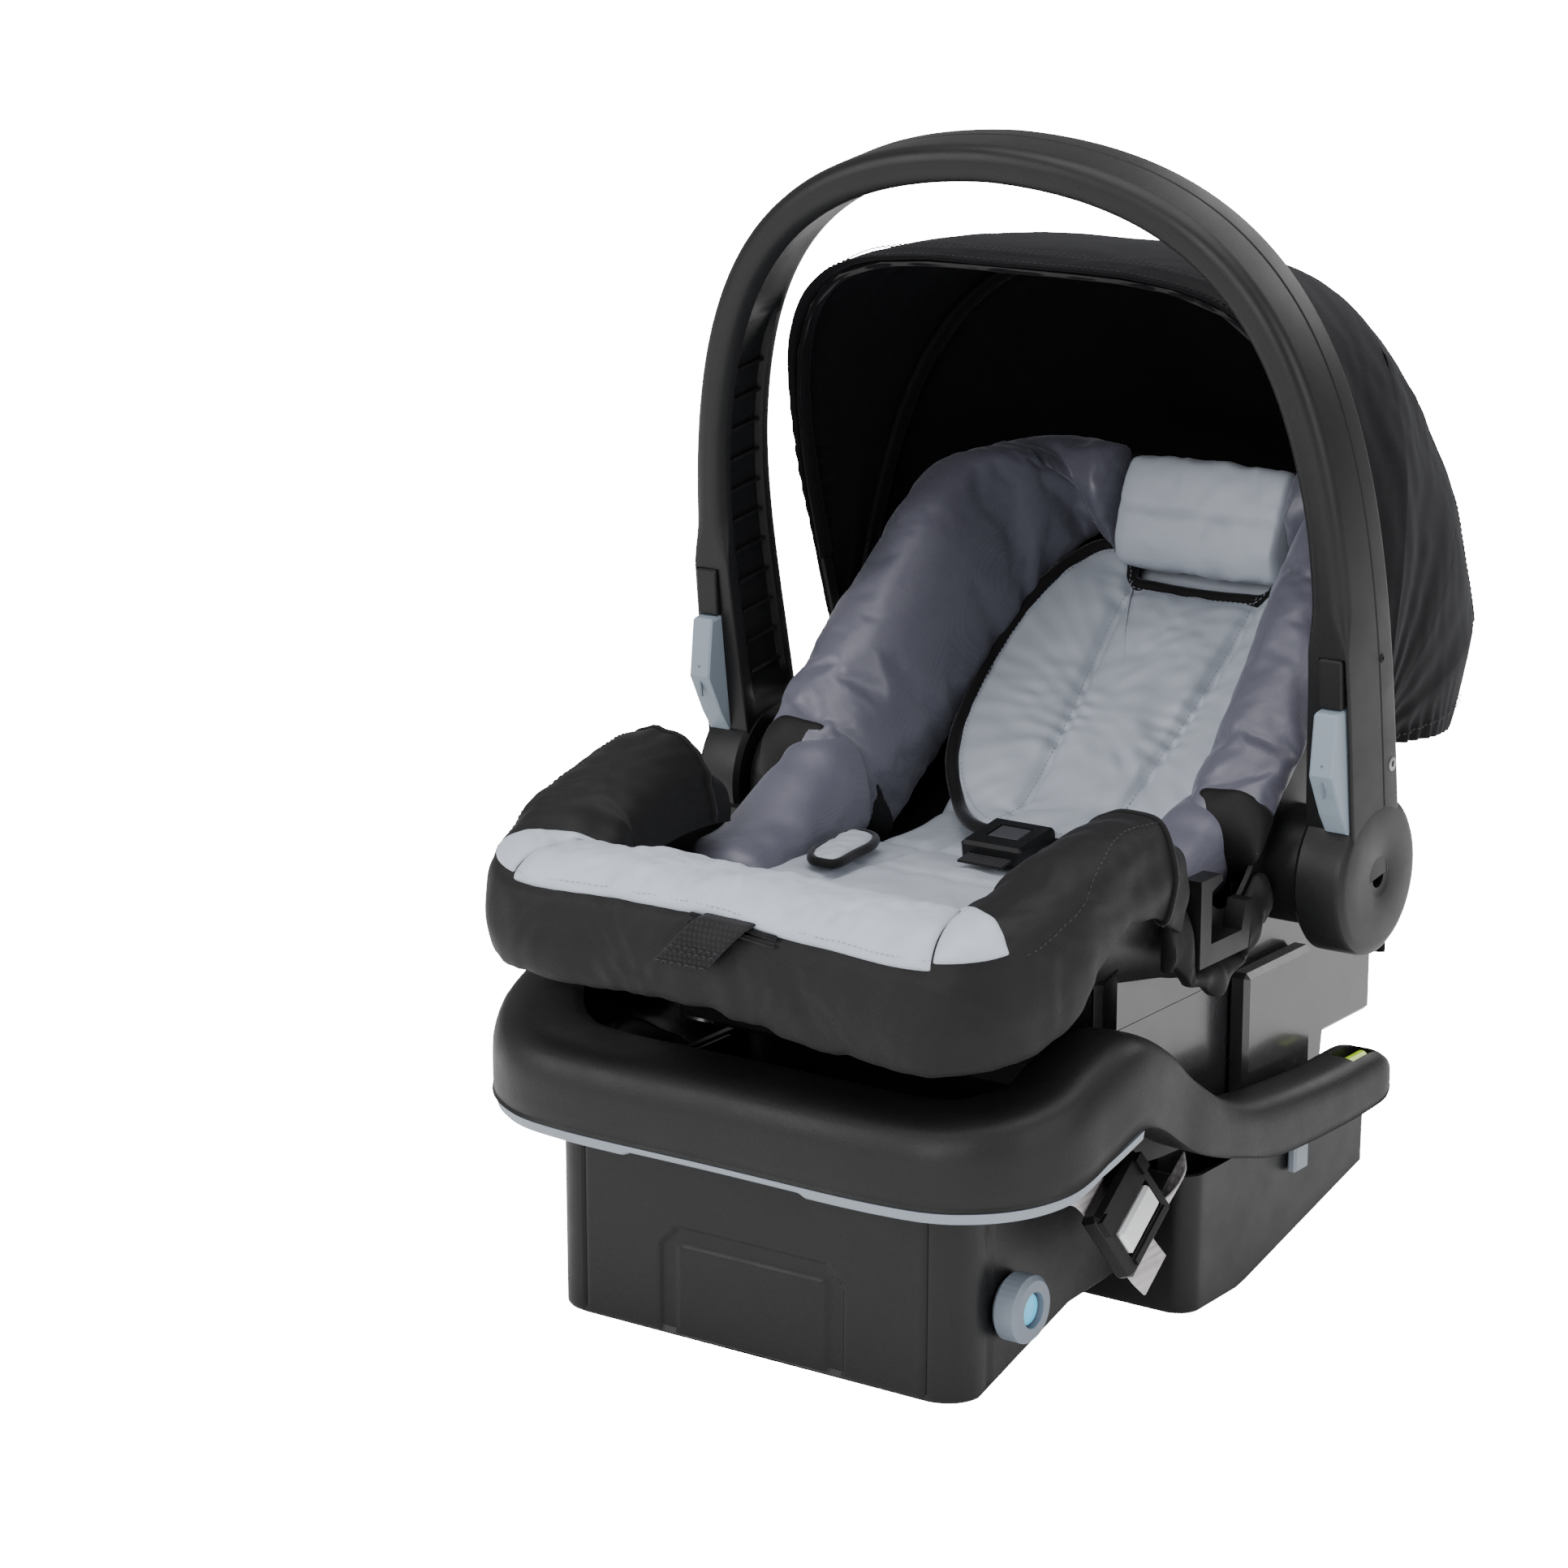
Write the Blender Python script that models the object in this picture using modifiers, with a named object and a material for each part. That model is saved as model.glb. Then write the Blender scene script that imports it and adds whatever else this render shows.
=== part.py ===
"""Infant car seat: a carrier with a swing handle and folding canopy, docked in its base.

Metres, +Z up, the front of the seat towards -Y. The origin is on the floor, under the
middle of the whole object. Paired pieces are built by one function with side +1 or -1.
"""

from math import cos, pi, radians, sin

import bmesh
import bpy
from mathutils import Matrix, Vector

# ---------------------------------------------------------------- driving dimensions
GAP = 0.0003  # between two pieces that touch
RUN = 0.0007  # between two pieces that move past each other
WALL = 0.003  # moulded plastic wall

# swing handle
HANDLE_HALF_WIDTH = 0.222
HANDLE_REACH = 0.410  # hub axis to the outside of the grip
HANDLE_TILT = radians(8)  # forward of upright, as carried
ROOT_THICK = 0.031
GRIP_THICK = 0.022
ROOT_DEPTH = 0.056
GRIP_DEPTH = 0.046
HUB_Y = 0.003
HUB_Z = 0.242
HUB_RADIUS = 0.046
BOSS_RADIUS = 0.034
BOSS_LENGTH = 0.0225  # shell wall to the handle's hub
PIN_RADIUS = 0.006
SCREW_RADIUS = 0.0036

# release levers in the handle's arms, placed along the arm from the hub axis
LEVER_LOW = 0.032
LEVER_HIGH = 0.109
LEVER_CAP_HIGH = 0.138
LEVER_WIDTH = 0.0145
LEVER_BULGE = 0.017
LEVER_TRAVEL = 0.005
LEVER_DEPTH = 0.012
ARM_SKIN = 0.002  # the arm's outer wall beside the lever

# folding canopy
CANOPY_Y = 0.066
CANOPY_Z = 0.296
CANOPY_CLEAR = 0.0015  # canopy side to the inside of the handle's hub
FRONT_ANGLE = radians(20)  # forward of upright
MID_ANGLE = radians(-15)
SEAM_ANGLE = radians(-55)
BACK_ANGLE = radians(-80)
HEM_ANGLE = radians(-98)
FRONT_RISE = 0.297
MID_RISE = 0.280
SEAM_RISE = 0.262
BACK_RISE = 0.280
HEM_RISE = 0.236
CLOTH = 0.003
BOW_WIDTH = 0.008
BOW_THICK = 0.0025
BOW_CLEAR = 0.0018  # cloth to the bow under it
EYE_RADIUS = 0.009
PIVOT_RADIUS = 0.003
CANOPY_START = radians(9)  # cloth starts this far round from the side pivots

# carrier shell: rim and keel places along the seat, front to head
KEEL_ROUND = 2.4  # exponent of the shell's U-shaped sections
SHELL_STATIONS = (
    # rim y, rim z, keel y, keel z, how much narrower than the widest
    (-0.300, 0.250, -0.293, 0.214, 0.033),
    (-0.262, 0.258, -0.250, 0.190, 0.010),
    (-0.200, 0.268, -0.180, 0.170, 0.003),
    (-0.130, 0.262, -0.100, 0.155, 0.000),
    (-0.070, 0.232, -0.030, 0.155, 0.000),
    (-0.020, 0.280, 0.060, 0.165, 0.000),
    (0.035, 0.335, 0.140, 0.205, 0.000),
    (0.085, 0.385, 0.212, 0.262, 0.008),
    (0.135, 0.415, 0.262, 0.318, 0.022),
    (0.200, 0.425, 0.295, 0.365, 0.053),
)

# padded cover, cushions and straps
ROLL_DEPTH = 0.034
ROLL_BOTTOM_Z = 0.205
ROLL_TOP_Z = 0.272
HORN_TOP_Z = 0.305
HORN_END_Y = -0.145
BOLSTER_START_Y = -0.045
BOLSTER_WIDTH = 0.060
BOLSTER_RISE = 0.022
HEAD_PAD_HALF_WIDTH = 0.0575
PAD_THICK = 0.022
STRAP_WIDTH = 0.025
STRAP_THICK = 0.0015
PULL_WIDTH = 0.034

# dock under the carrier
DOCK_HALF_WIDTH = 0.145
DOCK_FRONT_Y = -0.168
DOCK_REAR_Y = 0.148
DOCK_TOP_Z = 0.181
DOCK_STEP_Z = 0.135
DOCK_TAIL_Z = 0.112
DOCK_FOOT_Z = 0.070
COLUMN_OUT = 0.014
COLUMN_FRONT_Y = -0.031
COLUMN_REAR_Y = 0.046

# base
BASE_FRONT_Y = -0.297
BASE_STEP_Y = -0.110  # the narrow front meets the wide foot
BASE_REAR_Y = 0.100
BASE_FRONT_HALF_WIDTH = 0.138
DOCK_CLEAR = 0.008  # dock column to the inside of the foot
FRONT_TOP_Z = 0.120
FOOT_TOP_Z = 0.083
RIM_OVERHANG = 0.038  # rim in front of the tub
RIM_OUT = 0.027  # rim beside the foot
RIM_HEIGHT = 0.045
TRIM_HEIGHT = 0.007
TRIM_CLEAR = 0.0012
KNOB_BACK = 0.046  # knob axis behind the tub's front
KNOB_Z = 0.047
KNOB_RADIUS = 0.019
KNOB_LENGTH = 0.016
BUTTON_RADIUS = 0.0095
ADJUSTER_Y = -0.178
ADJUSTER_Z = 0.083
ADJUSTER_OUT = 0.030  # its middle outside the tub's side
WEB_THICK = 0.0016
VIAL_RADIUS = 0.0045
VIAL_LENGTH = 0.020
VIAL_Y = 0.058

# sizes that follow from those above
HUB_INNER = HANDLE_HALF_WIDTH - ROOT_THICK
SHELL_HALF_WIDTH = HUB_INNER - BOSS_LENGTH - RUN
CANOPY_HALF_WIDTH = HUB_INNER - CANOPY_CLEAR
EYE_OUT = CANOPY_HALF_WIDTH - CLOTH - BOW_CLEAR
CANOPY_BOSS_OUT = EYE_OUT - 2 * (BOW_THICK + RUN)
FOOT_HALF_WIDTH = DOCK_HALF_WIDTH + COLUMN_OUT + DOCK_CLEAR + WALL
RIM_HALF_WIDTH = FOOT_HALF_WIDTH + RIM_OUT
RIM_FRONT_Y = BASE_FRONT_Y - RIM_OVERHANG
KNOB_Y = BASE_FRONT_Y + KNOB_BACK


# ---------------------------------------------------------------- making and placing
def empty_scene():
    """Remove what the file opened with."""
    for thing in list(bpy.data.objects):
        bpy.data.objects.remove(thing, do_unlink=True)


def group(name):
    """A new collection in the scene."""
    made = bpy.data.collections.new(name)
    bpy.context.scene.collection.children.link(made)
    return made


def finish(name, colour, roughness=0.5, metallic=0.0):
    """A Principled material of one colour."""
    made = bpy.data.materials.new(name)
    made.use_nodes = True
    shader = made.node_tree.nodes["Principled BSDF"]
    shader.inputs["Base Color"].default_value = (*colour, 1)
    shader.inputs["Roughness"].default_value = roughness
    shader.inputs["Metallic"].default_value = metallic
    return made


def keep(name, mesh, material, place=None):
    """A new object of this mesh: a part, or a hidden cutter where material is None."""
    made = bpy.data.objects.new(name, mesh)
    (PARTS if material else CUTTERS).objects.link(made)
    made.matrix_world = place or Matrix()
    if material:
        mesh.materials.append(material)
    else:
        made.hide_render = True
        made.display_type = "WIRE"
    mesh.shade_smooth()
    mesh.set_sharp_from_angle(angle=radians(35))
    return made


def mesh_from(name, shape):
    """Turn a bmesh into a mesh whose faces point outwards."""
    bmesh.ops.recalc_face_normals(shape, faces=shape.faces)
    mesh = bpy.data.meshes.new(name)
    shape.to_mesh(mesh)
    shape.free()
    return mesh


def block(name, size, centre, material, turn=None):
    """A box of a size about a centre."""
    shape = bmesh.new()
    bmesh.ops.create_cube(shape, size=1)
    bmesh.ops.scale(shape, vec=Vector(size), verts=shape.verts)
    place = Matrix.Translation(centre) @ (turn or Matrix())
    return keep(name, mesh_from(name, shape), material, place)


def rod(name, radius, start, end, material, sides=24, tip=None):
    """A cylinder from one point to another, or a cone where tip gives the end's radius."""
    start, end = Vector(start), Vector(end)
    shape = bmesh.new()
    bmesh.ops.create_cone(
        shape,
        cap_ends=True,
        segments=sides,
        radius1=radius,
        radius2=radius if tip is None else tip,
        depth=(end - start).length,
    )
    turn = (end - start).to_track_quat("Z", "Y").to_matrix().to_4x4()
    return keep(name, mesh_from(name, shape), material, Matrix.Translation((start + end) / 2) @ turn)


def loft(name, rings, material):
    """A closed solid through rings of equal point counts, with a flat face at each end."""
    shape = bmesh.new()
    loops = [[shape.verts.new(point) for point in ring] for ring in rings]
    for low, high in zip(loops, loops[1:]):
        for i in range(len(low)):
            shape.faces.new((low[i - 1], low[i], high[i], high[i - 1]))
    shape.faces.new(loops[0][::-1])
    shape.faces.new(loops[-1])
    return keep(name, mesh_from(name, shape), material)


def side_plate(name, outline, low, high, material):
    """A flat outline of (y, z) points, extruded along X from low to high."""
    curve = bpy.data.curves.new(name, "CURVE")
    curve.dimensions = "2D"
    curve.fill_mode = "BOTH"
    curve.extrude = abs(high - low) / 2
    spline = curve.splines.new("POLY")
    spline.points.add(len(outline) - 1)
    spline.use_cyclic_u = True
    for point, (y, z) in zip(spline.points, outline):
        point.co = (y, z, 0, 1)
    source = bpy.data.objects.new(name, curve)
    CUTTERS.objects.link(source)
    onto_side = Matrix(((0, 0, 1, (low + high) / 2), (1, 0, 0, 0), (0, 1, 0, 0), (0, 0, 0, 1)))
    source.matrix_world = onto_side
    bpy.context.view_layer.update()
    seen = source.evaluated_get(bpy.context.evaluated_depsgraph_get())
    mesh = bpy.data.meshes.new_from_object(seen)
    bpy.data.objects.remove(source, do_unlink=True)
    shape = bmesh.new()
    shape.from_mesh(mesh)
    bpy.data.meshes.remove(mesh)
    bmesh.ops.remove_doubles(shape, verts=shape.verts, dist=0.00001)
    return keep(name, mesh_from(name, shape), material, onto_side)


def soften(piece, width, segments=1):
    """Round the piece's sharp edges."""
    bevel = piece.modifiers.new("round", "BEVEL")
    bevel.width = width
    bevel.segments = segments
    bevel.limit_method = "ANGLE"
    bevel.angle_limit = radians(40)
    return piece


def cut(piece, cutter):
    """Take the cutter's shape out of the piece."""
    knife = piece.modifiers.new("cut", "BOOLEAN")
    knife.operation = "DIFFERENCE"
    knife.solver = "EXACT"
    knife.object = cutter
    return piece


def join(piece, other):
    """Add a hidden shape to the piece."""
    weld = piece.modifiers.new("join", "BOOLEAN")
    weld.operation = "UNION"
    weld.solver = "EXACT"
    weld.object = other
    return piece


def pivot(name, at):
    """An empty on a joint's axis, which the moving pieces hang from."""
    made = bpy.data.objects.new(name, None)
    PARTS.objects.link(made)
    made.location = at
    made.empty_display_size = 0.02
    bpy.context.view_layer.update()
    return made


def hang(piece, parent):
    """Parent a piece to an empty where it stands."""
    bpy.context.view_layer.update()
    piece.parent = parent
    piece.matrix_parent_inverse = parent.matrix_world.inverted()
    return piece


def mix(low, high, share):
    """Linear mix of two numbers."""
    return low + (high - low) * share


def ease(share):
    """Smooth step from 0 to 1, held outside."""
    share = min(1, max(0, share))
    return share * share * (3 - 2 * share)


# ---------------------------------------------------------------- swing handle
def arch_outside(share):
    """Outside of the arch's right half in its own plane, hub (0) to crown (1)."""
    corners = (
        Vector((HANDLE_HALF_WIDTH, 0)),
        Vector((HANDLE_HALF_WIDTH, 0.49 * HANDLE_REACH)),
        Vector((1.104 * HANDLE_HALF_WIDTH, 0.988 * HANDLE_REACH)),
        Vector((0, HANDLE_REACH)),
    )
    rest = 1 - share
    weights = (rest**3, 3 * rest**2 * share, 3 * rest * share**2, share**3)
    return sum((corner * weight for corner, weight in zip(corners, weights)), Vector((0, 0)))


def arch_inward(share):
    """Unit normal of the arch's outside, pointing to its inside."""
    step = 0.001
    ahead = arch_outside(min(1, share + step)) - arch_outside(max(0, share - step))
    return Vector((-ahead.y, ahead.x)).normalized()


def on_arm(x, along, back):
    """A point of the handle: sideways, along the arm from the hub axis, and rearwards."""
    return Vector(
        (
            x,
            HUB_Y - along * sin(HANDLE_TILT) + back * cos(HANDLE_TILT),
            HUB_Z + along * cos(HANDLE_TILT) + back * sin(HANDLE_TILT),
        )
    )


def arm_depth(along):
    """Depth of the arm, front edge to rear edge."""
    return mix(ROOT_DEPTH, GRIP_DEPTH, ease(along / HANDLE_REACH))


def arch_ring(share, side):
    """The handle's section at one place: flat outside, rounded front edge."""
    outside, inward = arch_outside(share), arch_inward(share)
    thick = mix(ROOT_THICK, GRIP_THICK, ease(share / 0.4))
    half = arm_depth(outside.y) / 2
    section = (
        (0.0, half),
        (thick, half),
        (thick, 0.0),
        (thick, -half + 0.3 * thick),
        (0.72 * thick, -half + 0.06 * thick),
        (0.45 * thick, -half),
        (0.18 * thick, -half + 0.06 * thick),
        (0.0, -half + 0.3 * thick),
    )
    ring = []
    for inside, back in section:
        flat = outside + inward * inside
        ring.append(on_arm(side * flat.x, flat.y, back))
    return ring


def arm_plate(name, outline, low, high, side, material):
    """A (rearwards, along) outline in the arm's plane, extruded sideways from low to high."""
    turned = [on_arm(0, along, back) for back, along in outline]
    ends = sorted((side * low, side * high))
    return side_plate(name, [(point.y, point.z) for point in turned], *ends, material)


def make_handle(hinge):
    """The moulded arch with its hub discs, pockets and bores."""
    steps = 13
    shares = [i / steps for i in range(steps + 1)]
    rings = [arch_ring(share, 1) for share in shares]
    rings += [arch_ring(share, -1) for share in reversed(shares[:-1])]
    arch = hang(loft("handle_arch", rings, BLACK), hinge)
    for side in (1, -1):
        disc = rod(
            "hub_disc_shape",
            HUB_RADIUS,
            (side * HUB_INNER, HUB_Y, HUB_Z),
            (side * (HANDLE_HALF_WIDTH + GAP), HUB_Y, HUB_Z),
            None,
            sides=40,
        )
        join(arch, disc)
        bore = rod(
            "hub_bore_shape",
            PIN_RADIUS + RUN,
            (side * (HUB_INNER - 0.01), HUB_Y, HUB_Z),
            (side * (HANDLE_HALF_WIDTH + 0.01), HUB_Y, HUB_Z),
            None,
        )
        cut(arch, bore)
        front = -ROOT_DEPTH / 2
        floor = front + LEVER_DEPTH + LEVER_TRAVEL + RUN
        outline = (
            (front - 0.03, LEVER_LOW - RUN),
            (floor, LEVER_LOW - RUN),
            (floor, LEVER_CAP_HIGH + GAP),
            (front - 0.03, LEVER_CAP_HIGH + GAP),
        )
        outer = HANDLE_HALF_WIDTH - ARM_SKIN
        cut(arch, arm_plate("lever_pocket_shape", outline, outer - LEVER_WIDTH - 2 * RUN, outer, side, None))
        screw_at = on_arm(0, 0.0615, 0.020)
        hole = rod(
            "screw_hole_shape",
            SCREW_RADIUS + GAP,
            (side * (HANDLE_HALF_WIDTH - 0.008), screw_at.y, screw_at.z),
            (side * (HANDLE_HALF_WIDTH + 0.01), screw_at.y, screw_at.z),
            None,
            sides=16,
        )
        cut(arch, hole)
        word = "right" if side > 0 else "left"
        screw = rod(
            f"arm_screw_{word}",
            SCREW_RADIUS,
            (side * (HANDLE_HALF_WIDTH - 0.0076), screw_at.y, screw_at.z),
            (side * (HANDLE_HALF_WIDTH - 0.0012), screw_at.y, screw_at.z),
            STEEL,
            sides=16,
        )
        hang(screw, hinge)
    return arch


def make_lever(side, slider, hinge):
    """One release lever and the cap above it, in the arm's pocket."""
    word = "right" if side > 0 else "left"
    front = -ROOT_DEPTH / 2
    outer = HANDLE_HALF_WIDTH - ARM_SKIN - RUN
    rear = front + LEVER_DEPTH
    swell = mix(LEVER_LOW, LEVER_HIGH, 0.56)
    outline = (
        (rear, LEVER_LOW),
        (front + 0.001, LEVER_LOW),
        (front - 0.45 * LEVER_BULGE, mix(LEVER_LOW, LEVER_HIGH, 0.22)),
        (front - LEVER_BULGE, swell),
        (front - 0.5 * LEVER_BULGE, LEVER_HIGH),
        (rear, LEVER_HIGH),
    )
    lever = arm_plate(f"release_lever_{word}", outline, outer - LEVER_WIDTH, outer, side, LEVER_GREY)
    hang(soften(lever, 0.0012), slider)
    outline = (
        (rear, LEVER_HIGH + RUN),
        (front - 0.003, LEVER_HIGH + RUN),
        (front - 0.001, LEVER_CAP_HIGH),
        (rear, LEVER_CAP_HIGH),
    )
    cap = arm_plate(f"lever_cap_{word}", outline, outer - LEVER_WIDTH, outer, side, BLACK)
    hang(soften(cap, 0.001), hinge)


# ---------------------------------------------------------------- carrier shell
def shell_section(station, count=16):
    """A U-shaped section from the right rim, round the keel, to the left rim."""
    rim_y, rim_z, keel_y, keel_z, narrow = station
    half = SHELL_HALF_WIDTH - narrow
    points = []
    for i in range(count + 1):
        turn = pi * i / count
        across = cos(turn)
        x = half * (1 if across > 0 else -1) * abs(across) ** (2 / KEEL_ROUND)
        depth = abs(sin(turn)) ** (2 / KEEL_ROUND)
        points.append(Vector((x, mix(rim_y, keel_y, depth), mix(rim_z, keel_z, depth))))
    return points


def rim_at(y):
    """The right rim's x and z and the keel's place where the rim passes y."""
    for near, far in zip(SHELL_STATIONS, SHELL_STATIONS[1:]):
        if near[0] <= y <= far[0]:
            share = (y - near[0]) / (far[0] - near[0])
            _, z, keel_y, keel_z, narrow = (mix(a, b, share) for a, b in zip(near, far))
            return SHELL_HALF_WIDTH - narrow, z, keel_y, keel_z
    raise ValueError("the rim doesn't reach that far")


def make_shell(carrier):
    """The moulded bathtub, open at the top, with its hub and canopy bosses."""
    shape = bmesh.new()
    loops = [[shape.verts.new(p) for p in shell_section(station)] for station in SHELL_STATIONS]
    for near, far in zip(loops, loops[1:]):
        for i in range(len(near) - 1):
            shape.faces.new((near[i], near[i + 1], far[i + 1], far[i]))
    shape.faces.new(loops[0][::-1])
    shape.faces.new(loops[-1])
    mesh = bpy.data.meshes.new("carrier_shell")
    shape.to_mesh(mesh)
    shape.free()
    shell = keep("carrier_shell", mesh, BLACK)
    wall = shell.modifiers.new("wall", "SOLIDIFY")
    wall.thickness = WALL
    wall.offset = -1
    wall.use_even_offset = True
    inner = SHELL_HALF_WIDTH - 0.013
    for side in (1, -1):
        hub = ((side * inner, HUB_Y, HUB_Z), (side * (HUB_INNER - RUN), HUB_Y, HUB_Z))
        join(shell, rod("hub_boss_shape", BOSS_RADIUS, *hub, None, sides=32))
        mount = ((side * inner, CANOPY_Y, CANOPY_Z), (side * CANOPY_BOSS_OUT, CANOPY_Y, CANOPY_Z))
        join(shell, rod("canopy_boss_shape", 0.0105, *mount, None, sides=20))
        socket = ((side * (SHELL_HALF_WIDTH - 0.004), HUB_Y, HUB_Z), (side * 0.4, HUB_Y, HUB_Z))
        cut(shell, rod("pin_socket_shape", PIN_RADIUS + GAP, *socket, None))
        socket = ((side * (CANOPY_BOSS_OUT - 0.008), CANOPY_Y, CANOPY_Z), (side * 0.4, CANOPY_Y, CANOPY_Z))
        cut(shell, rod("pivot_socket_shape", PIVOT_RADIUS + GAP, *socket, None, sides=16))
    hang(shell, carrier)


def make_side_fittings(side, carrier):
    """The hub pin, the canopy pivot and the belt guide of one side."""
    word = "right" if side > 0 else "left"
    pin = rod(
        f"hub_pin_{word}",
        PIN_RADIUS,
        (side * (SHELL_HALF_WIDTH - 0.004 + GAP), HUB_Y, HUB_Z),
        (side * (HANDLE_HALF_WIDTH - 0.010), HUB_Y, HUB_Z),
        STEEL,
    )
    hang(pin, carrier)
    pin = rod(
        f"canopy_pivot_{word}",
        PIVOT_RADIUS,
        (side * (CANOPY_BOSS_OUT - 0.008 + GAP), CANOPY_Y, CANOPY_Z),
        (side * EYE_OUT, CANOPY_Y, CANOPY_Z),
        STEEL,
        sides=16,
    )
    hang(pin, carrier)
    rim_x, rim_z, _, _ = rim_at(-0.096)
    low, top = rim_z - 0.034, rim_z + 0.016
    outline = (
        (-0.124, low),
        (-0.070, low),
        (-0.066, rim_z - 0.006),
        (-0.074, rim_z - 0.006),
        (-0.078, rim_z - 0.022),
        (-0.112, rim_z - 0.022),
        (-0.112, top - 0.008),
        (-0.100, top - 0.004),
        (-0.102, top),
        (-0.124, top),
    )
    ends = sorted((side * (rim_x + GAP), side * (rim_x + 0.012)))
    hang(side_plate(f"belt_guide_{word}", outline, *ends, BLACK), carrier)


# ---------------------------------------------------------------- folding canopy
def canopy_shape(angle):
    """Half width, rise and roundness of the canopy's section at an angle."""
    stops = (
        (FRONT_ANGLE, CANOPY_HALF_WIDTH, FRONT_RISE, 4.5),
        (MID_ANGLE, CANOPY_HALF_WIDTH - 0.002, MID_RISE, 3.3),
        (SEAM_ANGLE, CANOPY_HALF_WIDTH - 0.009, SEAM_RISE, 3.0),
        (BACK_ANGLE, CANOPY_HALF_WIDTH - 0.010, BACK_RISE, 2.9),
        (HEM_ANGLE, CANOPY_HALF_WIDTH - 0.013, HEM_RISE, 2.9),
    )
    for near, far in zip(stops, stops[1:]):
        if near[0] >= angle >= far[0]:
            share = (near[0] - angle) / (near[0] - far[0])
            return [mix(a, b, share) for a, b in zip(near[1:], far[1:])]
    raise ValueError("the canopy doesn't reach that far")


def canopy_point(angle, turn, inside):
    """A point of the canopy at an angle about the side pivots, right side to left side."""
    half, rise, roundness = canopy_shape(angle)
    across, up = cos(turn), sin(turn)
    grown = (abs(across) / (half - inside)) ** roundness + (abs(up) / (rise - inside)) ** roundness
    reach = grown ** (-1 / roundness)
    x, up = reach * across, reach * up
    return Vector((x, CANOPY_Y - up * sin(angle), CANOPY_Z + up * cos(angle)))


def panel_turns(count=26):
    """How far round from the right side each row of the cloth is."""
    return [mix(CANOPY_START, pi - CANOPY_START, i / count) for i in range(count + 1)]


def make_panel(name, front, rear, carrier, steps=3):
    """One cloth panel of the canopy, between two angles."""
    slit = radians(0.1)
    angles = [mix(front - slit, rear + slit, i / steps) for i in range(steps + 1)]
    rings = []
    for turn in panel_turns():
        ring = [canopy_point(angle, turn, 0) for angle in angles]
        ring += [canopy_point(angle, turn, CLOTH) for angle in reversed(angles)]
        rings.append(ring)
    return hang(loft(name, rings, BLACK_CLOTH), carrier)


def make_bow(name, angle, eye_out, hinge):
    """A flat bow under the cloth, with an eye round the pivot at each end."""
    inside = CLOTH + BOW_CLEAR
    rings = []
    half = canopy_shape(angle)[0]
    leg = eye_out - BOW_THICK / 2
    for turn in (radians(0.2), *panel_turns(), pi - radians(0.2)):
        outer = canopy_point(angle, turn, inside)
        inner = canopy_point(angle, turn, inside + BOW_THICK)
        near_pivot = ease(1 - abs(outer.z - CANOPY_Z) / 0.07)
        shift = (half - inside - BOW_THICK / 2 - leg) * near_pivot
        ring = []
        for point, lean in ((outer, 1), (outer, -1), (inner, -1), (inner, 1)):
            moved = Vector(point)
            moved.x -= shift if point.x > 0 else -shift
            along = Vector((0, -cos(angle), -sin(angle)))
            ring.append(moved + along * lean * BOW_WIDTH / 2)
        rings.append(ring)
    bow = hang(loft(name, rings, BLACK), hinge)
    for side in (1, -1):
        low, high = side * (leg - BOW_THICK / 2), side * (leg + BOW_THICK / 2)
        at = (CANOPY_Y, CANOPY_Z)
        join(bow, rod("bow_eye_shape", EYE_RADIUS, (low, *at), (high, *at), None, sides=20))
    for side in (1, -1):
        at = (CANOPY_Y, CANOPY_Z)
        hole = rod("bow_hole_shape", PIVOT_RADIUS + RUN, (side * 0.1, *at), (side * 0.4, *at), None, sides=16)
        cut(bow, hole)
    return bow


# ---------------------------------------------------------------- cover and cushions
def make_front_roll(carrier):
    """Padded front edge of the cover: a horn on each side and the roll between them."""
    path = []
    for y, depth, bottom, top in (
        (HORN_END_Y, 0.017, 0.236, HORN_TOP_Z - 0.002),
        (-0.170, 0.019, 0.250, HORN_TOP_Z),
        (-0.200, 0.021, 0.254, HORN_TOP_Z - 0.002),
        (-0.235, 0.024, 0.240, 0.296),
        (-0.262, 0.028, 0.216, 0.286),
    ):
        rim_x, rim_z, _, _ = rim_at(y)
        path.append((Vector((rim_x, y)), rim_z, depth, bottom, top))
    corner_x, corner_z, _, _ = rim_at(SHELL_STATIONS[0][0])
    front_y = SHELL_STATIONS[0][0]
    for x in (corner_x, 0.5 * corner_x, 0.0):
        path.append((Vector((x, front_y)), corner_z, ROLL_DEPTH, ROLL_BOTTOM_Z, ROLL_TOP_Z))
    left = [(Vector((-at.x, at.y)), *rest) for at, *rest in reversed(path[:-1])]
    path += left
    rings = []
    for i, (at, rim_z, depth, bottom, top) in enumerate(path):
        before = path[max(0, i - 1)][0]
        after = path[min(len(path) - 1, i + 1)][0]
        ahead = (after - before).normalized()
        out = Vector((-ahead.y, ahead.x))
        low_inside = rim_z - 0.010
        section = (
            (0.0015, bottom + 0.004),
            (0.8 * depth, bottom),
            (depth, mix(bottom, top, 0.35)),
            (0.92 * depth, mix(bottom, top, 0.8)),
            (0.4 * depth, top),
            (-0.024, top - 0.002),
            (-0.045, mix(rim_z, top, 0.45)),
            (-0.045, low_inside),
            (-WALL - 0.007, low_inside),
            (-WALL - 0.007, rim_z + 0.002),
            (0.0015, rim_z + 0.002),
        )
        rings.append([Vector((*(at + out * o), z)) for o, z in section])
    hang(loft("cover_front_roll", rings, BLACK_CLOTH), carrier)


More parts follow.
